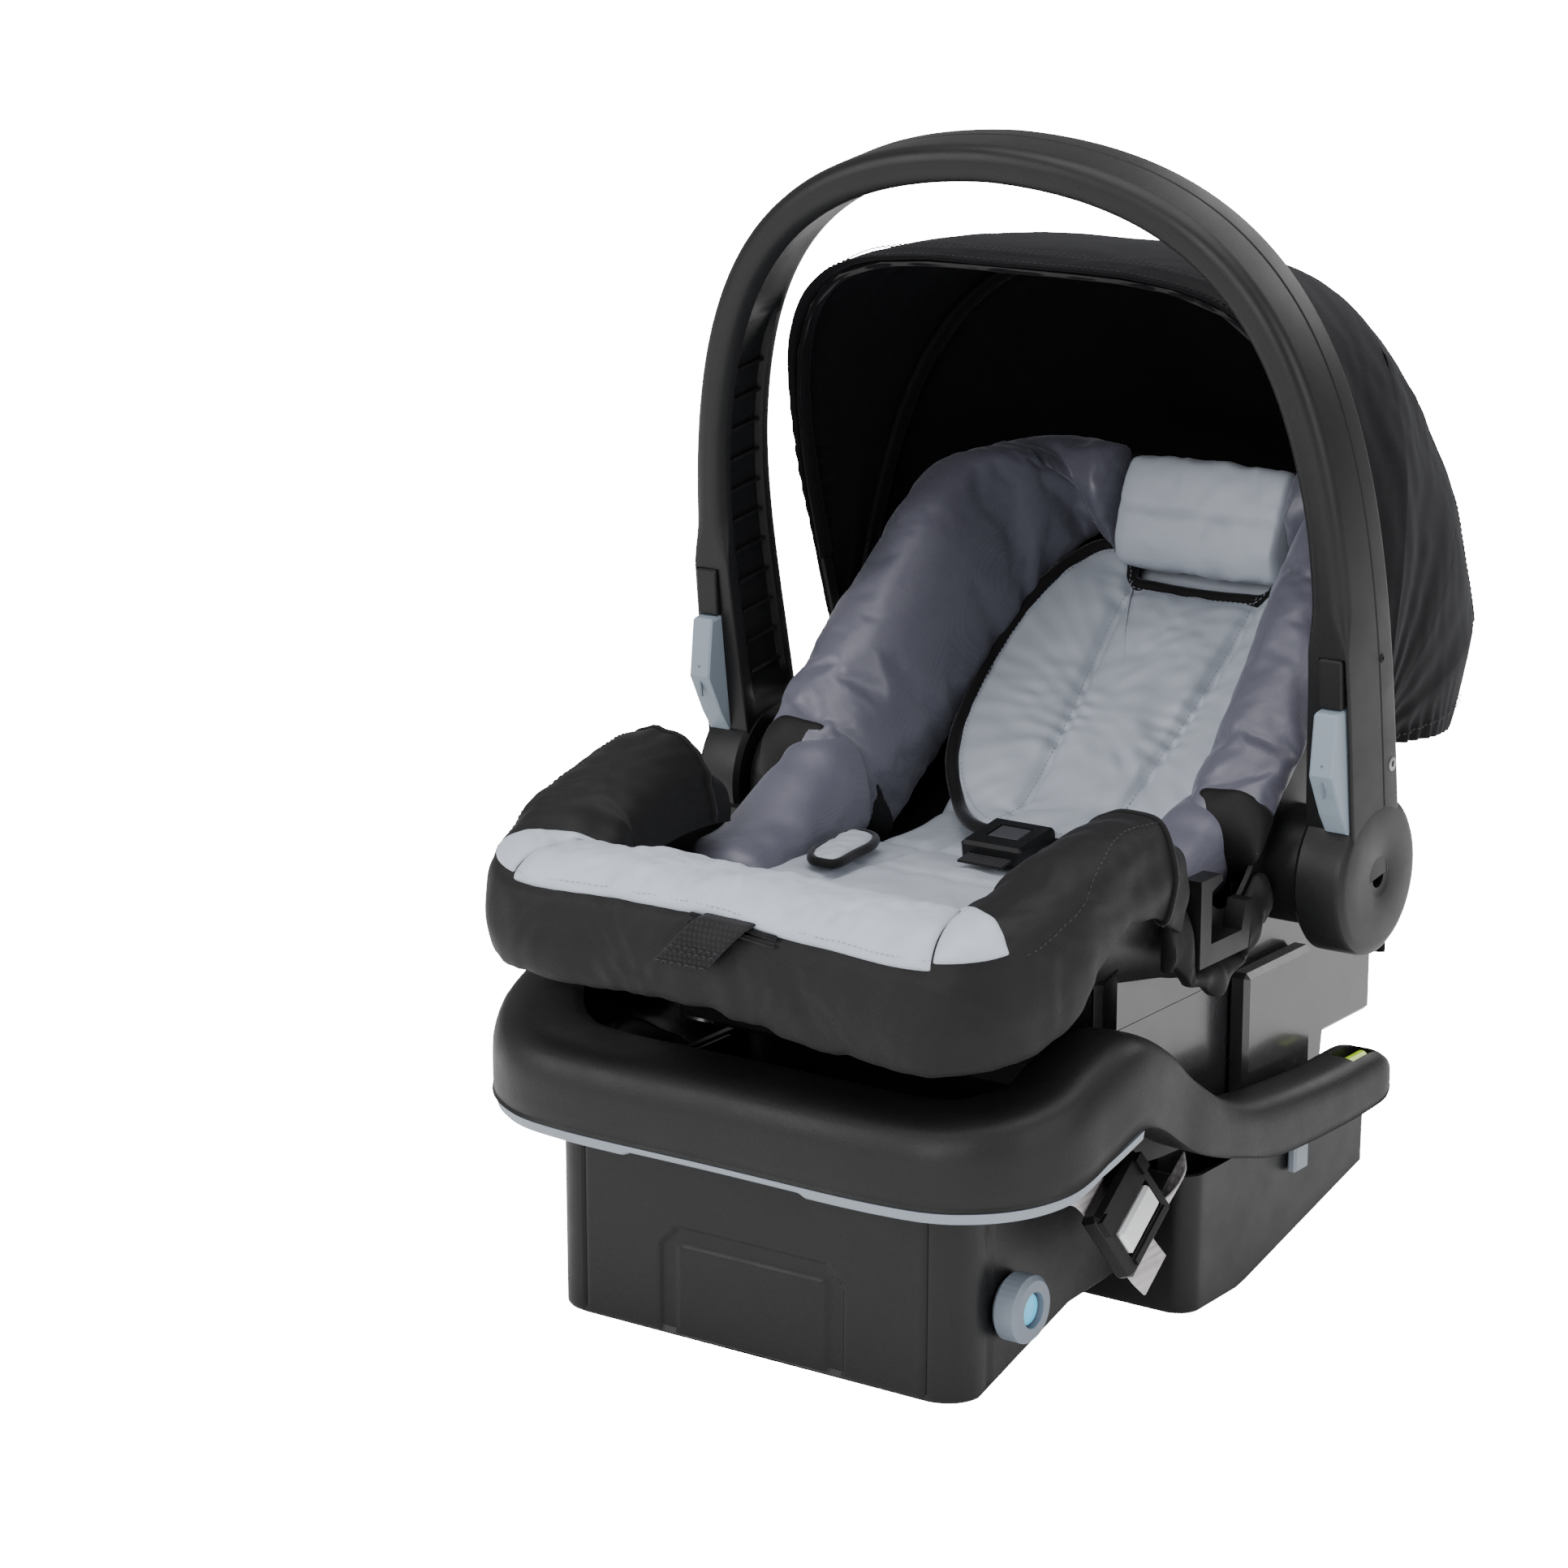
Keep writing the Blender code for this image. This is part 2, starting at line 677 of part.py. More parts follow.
def make_side_cover(side, carrier):
    """The cover's hem round the outside of the shell, under the belt guide and the hub."""
    word = "right" if side > 0 else "left"
    rings = []
    for y, low, high in ((-0.063, 0.212, 0.236), (-0.055, 0.208, 0.243), (-0.046, 0.212, 0.248)):
        rings.append(
            [
                Vector((side * (SHELL_HALF_WIDTH + out), y, z))
                for out, z in ((0.0025, low), (0.012, low + 0.004), (0.014, high - 0.008), (0.0025, high))
            ]
        )
    hang(loft(f"side_cover_{word}", rings, BLACK_CLOTH), carrier)


def make_bolster(side, carrier):
    """One side bolster: over the shell's rim from the belt guide up and round the head."""
    word = "right" if side > 0 else "left"
    places = []
    for y in (BOLSTER_START_Y, *(station[0] for station in SHELL_STATIONS[5:9])):
        rim_x, rim_z, keel_y, keel_z = rim_at(y)
        places.append((Vector((rim_x, y, rim_z)), Vector((0, keel_y, keel_z)), 0.0))
    head = SHELL_STATIONS[-1]
    keel = Vector((0, head[2], head[3]))
    corner_x = SHELL_HALF_WIDTH - head[4]
    places.append((Vector((corner_x, head[0], head[1])), keel, 0.5))
    places.append((Vector((HEAD_PAD_HALF_WIDTH + 0.002, head[0], head[1])), keel, 1.0))
    rings = []
    for rim, keel, turned in places:
        up = Vector((0, rim.y - keel.y, rim.z - keel.z))
        depth = 0.5 * up.length
        up.normalize()
        down_back = Vector((0, -up.z, up.y))
        inward = (Vector((-1, 0, 0)) * (1 - turned) + down_back * turned).normalized()
        section = (
            (-0.003, 0.0015),
            (-0.001, 0.6 * BOLSTER_RISE),
            (0.016, BOLSTER_RISE),
            (0.62 * BOLSTER_WIDTH, 0.8 * BOLSTER_RISE),
            (0.86 * BOLSTER_WIDTH, -0.004),
            (BOLSTER_WIDTH, -0.5 * depth),
            (0.95 * BOLSTER_WIDTH, -depth),
            (0.034, -depth),
            (0.021, -0.5 * depth),
            (0.0175, -0.012),
            (0.0075, 0.0015),
        )
        ring = [rim + inward * i + up * u for i, u in section]
        rings.append([Vector((side * p.x, p.y, p.z)) for p in ring])
    hang(loft(f"side_bolster_{word}", rings, DARK_SATIN), carrier)


PAD_LINE = ((-0.240, 0.236), (-0.170, 0.230), (-0.083, 0.228), (-0.020, 0.222), (0.040, 0.226),
            (0.091, 0.262), (0.135, 0.297), (0.190, 0.343))
INSERT_LINE = ((0.004, 0.236), (0.028, 0.246), (0.055, 0.264), (0.091, 0.296), (0.135, 0.332), (0.172, 0.358))
INSERT_BACK = ((0.006, 0.2272), (0.034, 0.2290), (0.0640, 0.2472), (0.1055, 0.2777), (0.148, 0.3123), (0.181, 0.3398))


def slab_rings(line, halves, thick=0.0, back=None):
    """Rings of a cushion whose face follows a (y, z) line, with a given back line or thickness."""
    rings = []
    for i, ((y, z), half) in enumerate(zip(line, halves)):
        face = Vector((y, z))
        if back:
            rear = Vector(back[i])
        else:
            before = Vector(line[max(0, i - 1)])
            after = Vector(line[min(len(line) - 1, i + 1)])
            ahead = (after - before).normalized()
            rear = face - Vector((-ahead.y, ahead.x)) * thick
        section = ((-1, 0.35), (-0.86, 0.85), (-0.4, 1), (0.4, 1), (0.86, 0.85), (1, 0.35), (0.9, 0), (-0.9, 0))
        ring = []
        for across, lift in section:
            point = rear.lerp(face, lift)
            ring.append(Vector((across * half, point.x, point.y)))
        rings.append(ring)
    return rings


def make_cushions(carrier):
    """Seat pad, body insert, head pad and the small thigh pad beside the crotch strap."""
    halves = (0.118, 0.126, 0.118, 0.104, 0.104, 0.102, 0.096, 0.082)
    hang(loft("seat_pad", slab_rings(PAD_LINE, halves, thick=PAD_THICK), LIGHT_SATIN), carrier)
    halves = (0.048, 0.078, 0.092, 0.096, 0.086, 0.060)
    rings = slab_rings(INSERT_LINE, halves, back=INSERT_BACK)
    hang(loft("body_insert", rings, LIGHT_SATIN), carrier)
    outline = ((0.194, 0.419), (0.172, 0.373), (0.197, 0.355), (0.235, 0.388))
    half = HEAD_PAD_HALF_WIDTH
    pad = side_plate("head_pad", outline, -half, half, LIGHT_SATIN)
    hang(soften(pad, 0.006), carrier)
    line = ((-0.110, 0.246), (-0.090, 0.248), (-0.068, 0.243))
    rings = slab_rings(line, (0.012, 0.016, 0.010), back=((-0.110, 0.2305), (-0.090, 0.2305), (-0.068, 0.2300)))
    rings = [[point + Vector((-0.066, 0, 0)) for point in ring] for ring in rings]
    hang(loft("thigh_pad", rings, LIGHT_SATIN), carrier)


# ---------------------------------------------------------------- harness
def make_harness(carrier, press):
    """Shoulder straps under the insert, crotch strap, buckle and front pull strap."""
    for side, word in ((1, "right"), (-1, "left")):
        line = PAD_LINE[4:7]
        rings = []
        for i, (y, z) in enumerate(line):
            before = Vector(line[max(0, i - 1)])
            after = Vector(line[min(len(line) - 1, i + 1)])
            ahead = (after - before).normalized()
            up = Vector((-ahead.y, ahead.x))
            ring = []
            for across, lift in ((0, 0), (1, 0), (1, STRAP_THICK), (0, STRAP_THICK)):
                point = Vector((y, z)) + up * (lift + 2 * GAP)
                ring.append(Vector((side * (0.022 + STRAP_WIDTH * across), point.x, point.y)))
            rings.append(ring)
        hang(loft(f"shoulder_strap_{word}", rings, WEBBING_BLACK), carrier)
    lean = Matrix.Rotation(radians(-82), 4, "X")
    buckle_at = Vector((0, -0.036, 0.2350))
    strap_at = buckle_at + lean @ Vector((0, 0.001, -0.0264))
    hang(block("crotch_strap", (0.030, STRAP_THICK, 0.012), strap_at, WEBBING_BLACK, lean), carrier)
    buckle = block("buckle", (0.042, 0.013, 0.040), buckle_at, BLACK, lean)
    pocket = block("buckle_pocket_shape", (0.022, 0.013, 0.018), buckle_at + lean @ Vector((0, -0.0085, 0.002)), None, lean)
    hang(cut(soften(buckle, 0.002), pocket), carrier)
    button = block(
        "buckle_button",
        (0.022 - 2 * RUN, 0.0025, 0.018 - 2 * RUN),
        buckle_at + lean @ Vector((0, -0.00475 - GAP, 0.002)),
        RED,
        lean,
    )
    hang(soften(button, 0.0006), press)
    rings = []
    front = SHELL_STATIONS[0][0] - ROLL_DEPTH
    for share, y, z in ((0, 0.0025, 0.268), (0.35, 0.0055, 0.256), (1, 0.006, 0.233)):
        middle = mix(0.012, -0.016, share)
        half = PULL_WIDTH / 2
        rings.append(
            [
                Vector((middle - half, front - y - STRAP_THICK, z)),
                Vector((middle + half, front - y - STRAP_THICK, z)),
                Vector((middle + half, front - y, z)),
                Vector((middle - half, front - y, z)),
            ]
        )
    hang(loft("harness_pull_strap", rings, WEBBING_BLACK), carrier)
    adjuster = block("harness_adjuster", (0.040, 0.018, 0.008), (0, -0.272, 0.222), BLACK)
    hang(soften(adjuster, 0.001), carrier)


# ---------------------------------------------------------------- dock and release
def make_dock(carrier):
    """The carrier's lower wall, which drops into the base, and its side columns."""
    outline = (
        (DOCK_FRONT_Y, DOCK_TOP_Z),
        (DOCK_FRONT_Y, DOCK_STEP_Z),
        (BASE_STEP_Y + 0.006, DOCK_STEP_Z),
        (BASE_STEP_Y + 0.010, DOCK_FOOT_Z),
        (BASE_REAR_Y - 0.016, DOCK_FOOT_Z),
        (BASE_REAR_Y - 0.010, DOCK_TAIL_Z),
        (DOCK_REAR_Y, DOCK_TAIL_Z),
        (DOCK_REAR_Y, DOCK_TOP_Z),
    )
    dock = side_plate("dock_wall", outline, -DOCK_HALF_WIDTH, DOCK_HALF_WIDTH, DOCK_BLACK)
    soften(dock, 0.004)
    depth = DOCK_REAR_Y - DOCK_FRONT_Y
    hollow = (2 * (DOCK_HALF_WIDTH - WALL), depth - 2 * WALL, 0.4)
    cut(dock, block("dock_hollow_shape", hollow, (0, (DOCK_REAR_Y + DOCK_FRONT_Y) / 2, 0.2), None))
    shell_room = block(
        "dock_saddle_shape",
        (2 * DOCK_HALF_WIDTH - 0.02, depth + 0.1, 0.2),
        (0, (DOCK_REAR_Y + DOCK_FRONT_Y) / 2, 0.152 + 0.1),
        None,
    )
    cut(dock, shell_room)
    hang(dock, carrier)
    for side, word in ((1, "right"), (-1, "left")):
        top = DOCK_TOP_Z
        low, high = COLUMN_FRONT_Y, COLUMN_REAR_Y
        outline = ((low, top), (low, DOCK_FOOT_Z + 0.02), (high, DOCK_FOOT_Z + 0.02), (high, top))
        ends = sorted((side * (DOCK_HALF_WIDTH + GAP), side * (DOCK_HALF_WIDTH + COLUMN_OUT)))
        column = side_plate(f"dock_column_{word}", outline, *ends, DOCK_BLACK)
        hang(soften(column, 0.003), carrier)


def make_carrier_release(release):
    """The pull handle on the back of the shell that frees the carrier from its base."""
    low, high = (Vector((s[2], s[3])) for s in (SHELL_STATIONS[7], SHELL_STATIONS[8]))
    ahead = (high - low).normalized()
    out = Vector((ahead.y, -ahead.x))
    middle = (low + high) / 2 + out * 0.0085
    turn = Matrix.Rotation(ahead.angle_signed(Vector((1, 0))), 4, "X")
    handle = block("carrier_release_handle", (0.094, 0.038, 0.012), (0, middle.x, middle.y), BLACK, turn)
    hang(soften(handle, 0.003), release)


# ---------------------------------------------------------------- base
def make_tub():
    """The base's hollow tub: a narrow front and a wide foot, open at the top."""
    front_outline = (
        (BASE_FRONT_Y, 0.004),
        (BASE_FRONT_Y + 0.004, 0.0),
        (BASE_FRONT_Y + 0.020, 0.0),
        (BASE_STEP_Y - 0.075, 0.026),
        (BASE_STEP_Y + 0.004, 0.030),
        (BASE_STEP_Y + 0.004, FRONT_TOP_Z),
        (BASE_FRONT_Y, FRONT_TOP_Z),
    )
    tub = side_plate("base_tub", front_outline, -BASE_FRONT_HALF_WIDTH, BASE_FRONT_HALF_WIDTH, BLACK)
    foot_outline = (
        (BASE_STEP_Y, 0.0),
        (BASE_STEP_Y + 0.060, 0.0),
        (BASE_REAR_Y, 0.036),
        (BASE_REAR_Y, FOOT_TOP_Z),
        (BASE_STEP_Y, FOOT_TOP_Z),
    )
    join(tub, side_plate("foot_shape", foot_outline, -FOOT_HALF_WIDTH, FOOT_HALF_WIDTH, None))
    inner = BASE_FRONT_HALF_WIDTH - WALL
    front_hollow = (
        (BASE_FRONT_Y + WALL, WALL + 0.002),
        (BASE_FRONT_Y + 0.022, WALL + 0.002),
        (BASE_STEP_Y - 0.074, 0.026 + WALL),
        (BASE_STEP_Y + 0.020, 0.030 + WALL),
        (BASE_STEP_Y + 0.020, 0.3),
        (BASE_FRONT_Y + WALL, 0.3),
    )
    cut(tub, side_plate("front_hollow_shape", front_hollow, -inner, inner, None))
    inner = FOOT_HALF_WIDTH - WALL
    foot_hollow = (
        (BASE_STEP_Y + WALL, WALL),
        (BASE_STEP_Y + 0.061, WALL),
        (BASE_REAR_Y - WALL, 0.036 + WALL),
        (BASE_REAR_Y - WALL, 0.3),
        (BASE_STEP_Y + WALL, 0.3),
    )
    cut(tub, side_plate("foot_hollow_shape", foot_hollow, -inner, inner, None))
    for side in (1, -1):
        x = side * BASE_FRONT_HALF_WIDTH
        cut(tub, block("belt_slot_shape", (0.02, 0.052, 0.030), (x, ADJUSTER_Y + 0.016, 0.101), None))
    socket = ((BASE_FRONT_HALF_WIDTH - 0.01, KNOB_Y, KNOB_Z), (BASE_FRONT_HALF_WIDTH + 0.01, KNOB_Y, KNOB_Z))
    cut(tub, rod("knob_socket_shape", 0.006 + RUN, *socket, None))
    return tub


def rim_path(side):
    """Centre, outward normal, half width, low and high of the rim, rear end to the middle of the front."""
    arm = RIM_HALF_WIDTH - 0.0155
    wide = BASE_FRONT_HALF_WIDTH + 0.033
    front = RIM_FRONT_Y + 0.0275
    rows = (
        (arm, 0.082, 0.0150, 0.090, 0.112),
        (arm, 0.062, 0.0155, 0.086, 0.117),
        (arm, 0.015, 0.0155, 0.085, 0.117),
        (arm, -0.055, 0.0155, 0.088, 0.122),
        (arm - 0.001, -0.098, 0.0160, 0.098, 0.130),
        (arm - 0.003, -0.135, 0.0175, 0.110, 0.152),
        (arm - 0.007, -0.165, 0.0205, 0.126, 0.178),
        (wide + 0.003, -0.205, 0.0225, 0.146, 0.196),
        (wide, -0.240, 0.0240, 0.136, 0.190),
        (wide - 0.006, -0.270, 0.0255, 0.126, 0.178),
        (wide - 0.030, -0.297, 0.0270, 0.123, 0.171),
        (wide - 0.070, front, 0.0275, 0.123, 0.168),
        (0.0, front, 0.0275, 0.123, 0.168),
    )
    path = []
    for i, (x, y, half, low, high) in enumerate(rows):
        before = Vector(rows[max(0, i - 1)][:2])
        after = Vector(rows[min(len(rows) - 1, i + 1)][:2])
        ahead = (after - before).normalized()
        out = Vector((-ahead.y, ahead.x))
        path.append((Vector((side * x, y)), Vector((side * out.x, out.y)), half, low, high))
    return path


def both_sides(path):
    """A right-hand path continued over the middle to the left."""
    back = [(Vector((-at.x, at.y)), Vector((-out.x, out.y)), *rest) for at, out, *rest in reversed(path[:-1])]
    return path + back


def make_rim():
    """The base's rolled rim: round the front, over the belt path and back along each side."""
    rings = []
    for at, out, half, low, high in both_sides(rim_path(1)):
        section = ((-1, 0.0), (0.88, 0.0), (1, 0.1), (1, 0.55), (0.86, 0.8), (0.5, 0.97), (0, 1), (-0.8, 0.98), (-1, 0.9))
        rings.append([Vector((*(at + out * half * across), mix(low, high, up))) for across, up in section])
    rim = loft("base_rim", rings, BLACK)
    well = (2 * VIAL_RADIUS + 0.0072, VIAL_LENGTH + 0.012, 0.03)
    x = RIM_HALF_WIDTH - 0.0155
    cut(rim, block("vial_well_shape", well, (x, VIAL_Y, 0.105 + 0.015), None))
    return rim


def make_trim():
    """The grey strip under the rim's lower edge, from hook to hook round the front."""
    rings = []
    for at, out, half, low, high in both_sides(rim_path(1)[7:]):
        top = low - TRIM_CLEAR
        section = ((0.35, -TRIM_HEIGHT), (0.80, -TRIM_HEIGHT), (0.94, -0.4 * TRIM_HEIGHT), (0.94, 0), (0.35, 0))
        rings.append([Vector((*(at + out * half * across), top + drop)) for across, drop in section])
    return loft("rim_trim", rings, GREY_TRIM)


def make_level():
    """The bubble level's vial in the right arm of the rim."""
    x = RIM_HALF_WIDTH - 0.0155
    z = 0.105 + VIAL_RADIUS + GAP
    half = VIAL_LENGTH / 2
    rod("level_vial", VIAL_RADIUS, (x, VIAL_Y - half, z), (x, VIAL_Y + half, z), VIAL_GREEN, sides=20)


def make_knob(turner, press):
    """The recline knob on the right wall, with its shaft and the button in its middle."""
    wall = BASE_FRONT_HALF_WIDTH
    face = wall + RUN + KNOB_LENGTH
    ring = rod("recline_knob", KNOB_RADIUS, (wall + RUN, KNOB_Y, KNOB_Z), (face, KNOB_Y, KNOB_Z), KNOB_GREY, sides=32)
    shaft = ((wall - 0.012, KNOB_Y, KNOB_Z), (wall + 0.004, KNOB_Y, KNOB_Z))
    join(soften(ring, 0.0025), rod("knob_shaft_shape", 0.006, *shaft, None))
    bore = ((face - 0.012, KNOB_Y, KNOB_Z), (face + 0.01, KNOB_Y, KNOB_Z))
    cut(ring, rod("knob_bore_shape", BUTTON_RADIUS + RUN, *bore, None, sides=28))
    hang(ring, turner)
    button = rod(
        "recline_button",
        BUTTON_RADIUS,
        (face - 0.008, KNOB_Y, KNOB_Z),
        (face - 0.003, KNOB_Y, KNOB_Z),
        BLUE,
        sides=28,
    )
    hang(soften(button, 0.001), press)


def make_recline_foot(tilt):
    """The plate under the tub that the knob lowers to tip the base."""
    half = BASE_FRONT_HALF_WIDTH - 0.020
    rear = BASE_STEP_Y - 0.006
    outline = (
        (rear - 0.070, 0.012),
        (rear, 0.018),
        (rear, 0.026),
        (rear - 0.066, 0.0215),
    )
    hang(side_plate("recline_foot", outline, -half, half, BLACK), tilt)


def adjuster_place(side):
    """Where the belt adjuster hangs: local X outwards, local Y along the belt's width."""
    at = Matrix.Translation((side * (BASE_FRONT_HALF_WIDTH + ADJUSTER_OUT), ADJUSTER_Y, ADJUSTER_Z))
    return at @ Matrix.Rotation(radians(-22), 4, "Y") @ Matrix.Rotation(radians(24), 4, "X")


def make_adjuster(press):
    """The lower-anchor belt: its adjuster frame, push button and webbing."""
    place = adjuster_place(1)
    turn = place.to_3x3().to_4x4()
    frame = block("adjuster_frame", (0.013, 0.062, 0.044), place.translation, BLACK, turn)
    soften(frame, 0.003)
    button_at = place @ Vector((0.0045, -0.001, -0.004))
    room = (0.013, 0.044 + 4 * RUN, 0.015 + 4 * RUN)
    cut(frame, block("adjuster_window_shape", room, place @ Vector((0.003, -0.001, -0.004)), None, turn))
    button = block("adjuster_button", (0.008, 0.044, 0.015), button_at, SILVER, turn)
    hang(soften(button, 0.002), press)
    rings = []
    for out, up, half in (
        (-0.0165, 0.034, 0.0160),
        (-0.0095, 0.024, 0.0170),
        (-0.0086, 0.0, 0.0170),
        (-0.0086, -0.024, 0.0165),
        (-0.0095, -0.040, 0.0150),
        (-0.0090, -0.050, 0.0120),
    ):
        ring = ((out, -half, up), (out, half, up), (out + WEB_THICK, half, up), (out + WEB_THICK, -half, up))
        rings.append([place @ Vector(corner) for corner in ring])
    loft("anchor_web", rings, WEBBING_GREY)


def make_stow_clips():
    """A grey clip on each side of the foot that stows the anchor connector."""
    for side, word in ((1, "right"), (-1, "left")):
        x = side * (FOOT_HALF_WIDTH + GAP + 0.003)
        clip = block(f"connector_clip_{word}", (0.006, 0.016, 0.020), (x, 0.008, 0.066), GREY_TRIM)
        soften(clip, 0.0015)


def settle():
    """Slide the whole object so the origin is under its middle, on the floor."""
    bpy.context.view_layer.update()
    seen = bpy.context.evaluated_depsgraph_get()
    low, high = Vector((9, 9, 9)), Vector((-9, -9, -9))
    for part in PARTS.objects:
        if part.type != "MESH":
            continue
        solid = part.evaluated_get(seen)
        for point in solid.data.vertices:
            at = solid.matrix_world @ point.co
            low = Vector(map(min, low, at))
            high = Vector(map(max, high, at))
    shift = Vector((-(low.x + high.x) / 2, -(low.y + high.y) / 2, -low.z))
    for thing in (*PARTS.objects, *CUTTERS.objects):
        if thing.parent is None:
            thing.location += shift


# ---------------------------------------------------------------- the whole object
empty_scene()
PARTS = group("infant_car_seat")
CUTTERS = group("cutters")

BLACK = finish("black_plastic", (0.024, 0.024, 0.026), 0.42)
DOCK_BLACK = finish("dock_plastic", (0.06, 0.06, 0.065), 0.3)
GREY_TRIM = finish("grey_trim_plastic", (0.24, 0.27, 0.31), 0.45)
LEVER_GREY = finish("lever_plastic", (0.31, 0.36, 0.41), 0.45)
KNOB_GREY = finish("knob_plastic", (0.16, 0.18, 0.21), 0.4)
BLUE = finish("blue_button", (0.12, 0.55, 0.80), 0.35)
RED = finish("red_button", (0.55, 0.03, 0.03), 0.4)
SILVER = finish("silver_button", (0.68, 0.69, 0.71), 0.35)
STEEL = finish("steel", (0.45, 0.45, 0.46), 0.35, 1.0)
VIAL_GREEN = finish("level_vial", (0.55, 0.78, 0.05), 0.1)
BLACK_CLOTH = finish("black_cloth", (0.018, 0.016, 0.018), 0.85)
DARK_SATIN = finish("dark_grey_satin", (0.085, 0.09, 0.11), 0.6)
LIGHT_SATIN = finish("light_grey_satin", (0.42, 0.45, 0.51), 0.6)
WEBBING_BLACK = finish("black_webbing", (0.02, 0.02, 0.021), 0.8)
WEBBING_GREY = finish("grey_webbing", (0.42, 0.39, 0.39), 0.8)

CARRIER = pivot("carrier_lift", (0, 0, DOCK_FOOT_Z))
HANDLE = hang(pivot("handle_hinge", (0, HUB_Y, HUB_Z)), CARRIER)
CANOPY = (0, CANOPY_Y, CANOPY_Z)
MID_HINGE = hang(pivot("canopy_mid_hinge", CANOPY), CARRIER)
FRONT_HINGE = hang(pivot("canopy_front_hinge", CANOPY), MID_HINGE)

make_shell(CARRIER)
make_dock(CARRIER)
make_handle(HANDLE)
for SIDE, WORD in ((1, "right"), (-1, "left")):
    make_side_fittings(SIDE, CARRIER)
    LEVER_AT = on_arm(SIDE * HANDLE_HALF_WIDTH, LEVER_LOW, 0)
    make_lever(SIDE, hang(pivot(f"lever_slide_{WORD}", LEVER_AT), HANDLE), HANDLE)
    make_side_cover(SIDE, CARRIER)
    make_bolster(SIDE, CARRIER)

make_panel("canopy_front_panel", FRONT_ANGLE, MID_ANGLE, FRONT_HINGE)
make_panel("canopy_middle_panel", MID_ANGLE, SEAM_ANGLE, MID_HINGE)
make_panel("canopy_back_panel", SEAM_ANGLE, HEM_ANGLE, CARRIER, steps=4)
make_bow("canopy_front_bow", FRONT_ANGLE - radians(1.6), EYE_OUT, FRONT_HINGE)
make_bow("canopy_mid_bow", MID_ANGLE, EYE_OUT - BOW_THICK - RUN, MID_HINGE)

make_front_roll(CARRIER)
make_cushions(CARRIER)
make_harness(CARRIER, hang(pivot("buckle_button_slide", (0, -0.036, 0.240)), CARRIER))
make_carrier_release(hang(pivot("release_slide", (0, SHELL_STATIONS[8][2], SHELL_STATIONS[8][3])), CARRIER))

make_tub()
make_rim()
make_trim()
make_level()
KNOB_AT = (BASE_FRONT_HALF_WIDTH, KNOB_Y, KNOB_Z)
KNOB_TURN = pivot("knob_turn", KNOB_AT)
make_knob(KNOB_TURN, hang(pivot("recline_button_slide", KNOB_AT), KNOB_TURN))
make_recline_foot(pivot("recline_foot_hinge", (0, BASE_STEP_Y - 0.006, 0.022)))
make_adjuster(pivot("adjuster_button_slide", adjuster_place(1).translation))
make_stow_clips()
settle()
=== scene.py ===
"""Looks of the infant car seat: cloth, padding, moulded plastic, webbing, and the studio.

Everything is built in the row frame, in metres. The solids in the frame stay where they are:
some are shown with a finish, and the others are stood for by finer pieces made here.
"""

import logging
import math
from dataclasses import dataclass
from enum import Enum
from typing import Callable, Iterable, Sequence

import bmesh
import bpy
import numpy as np
from mathutils import Matrix, Vector


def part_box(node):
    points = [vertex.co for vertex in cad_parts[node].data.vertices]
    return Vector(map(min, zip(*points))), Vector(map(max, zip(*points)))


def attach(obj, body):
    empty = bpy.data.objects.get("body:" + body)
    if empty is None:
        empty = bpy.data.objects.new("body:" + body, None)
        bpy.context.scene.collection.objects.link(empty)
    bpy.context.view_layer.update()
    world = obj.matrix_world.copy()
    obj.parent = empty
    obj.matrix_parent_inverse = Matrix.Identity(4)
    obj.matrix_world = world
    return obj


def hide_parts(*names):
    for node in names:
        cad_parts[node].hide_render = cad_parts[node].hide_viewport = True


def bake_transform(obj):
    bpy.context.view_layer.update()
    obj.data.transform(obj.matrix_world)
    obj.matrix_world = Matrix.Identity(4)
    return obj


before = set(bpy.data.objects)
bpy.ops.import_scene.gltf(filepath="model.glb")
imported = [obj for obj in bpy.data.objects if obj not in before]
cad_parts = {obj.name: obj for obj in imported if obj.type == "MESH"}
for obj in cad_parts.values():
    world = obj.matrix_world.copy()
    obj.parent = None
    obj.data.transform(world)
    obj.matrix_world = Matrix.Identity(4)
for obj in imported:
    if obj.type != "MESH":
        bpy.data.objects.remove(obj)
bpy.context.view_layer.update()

logging.basicConfig(level=logging.INFO, format="%(levelname)s %(name)s: %(message)s")
LOG = logging.getLogger("car_seat")

Grid = np.ndarray  # rows x columns x 3
UPRIGHT = (Vector((1, 0, 0)), Vector((0, 1, 0)), Vector((0, 0, 1)))
SIDES = ((1, "right"), (-1, "left"))
CLOTH_SHARP = 75.0  # degrees that an edge of cloth has to turn to look crisp
STEPS_PER_SPAN = 24  # points between two given ones, before a curve is evened out


# ------------------------------------------------------------------ shared sizes
@dataclass(frozen=True)
class Layout:
    """Places that several pieces share, before the slide that centres the object."""

    hub_y: float = 0.003
    hub_z: float = 0.242
    canopy_y: float = 0.066
    canopy_z: float = 0.296
    handle_inner: float = 0.191
    handle_outer: float = 0.222
    shell_half: float = 0.1678
    tub_front: float = -0.297
    tub_half: float = 0.138
    foot_half: float = 0.170
    rim_front: float = -0.335

    @property
    def slide(self) -> float:
        """How far the frame's origin lies from the one the sizes here are counted from."""
        low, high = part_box("canopy_pivot_right")
        return (low.y + high.y) / 2 - self.canopy_y


LAYOUT = Layout()


class Body(str, Enum):
    """Bodies of the frame that pieces ride on."""

    BASE = "base"
    CARRIER = "carrier"
    HANDLE = "handle"
    CANOPY_MID = "canopy_mid"
    CANOPY_FRONT = "canopy_front"


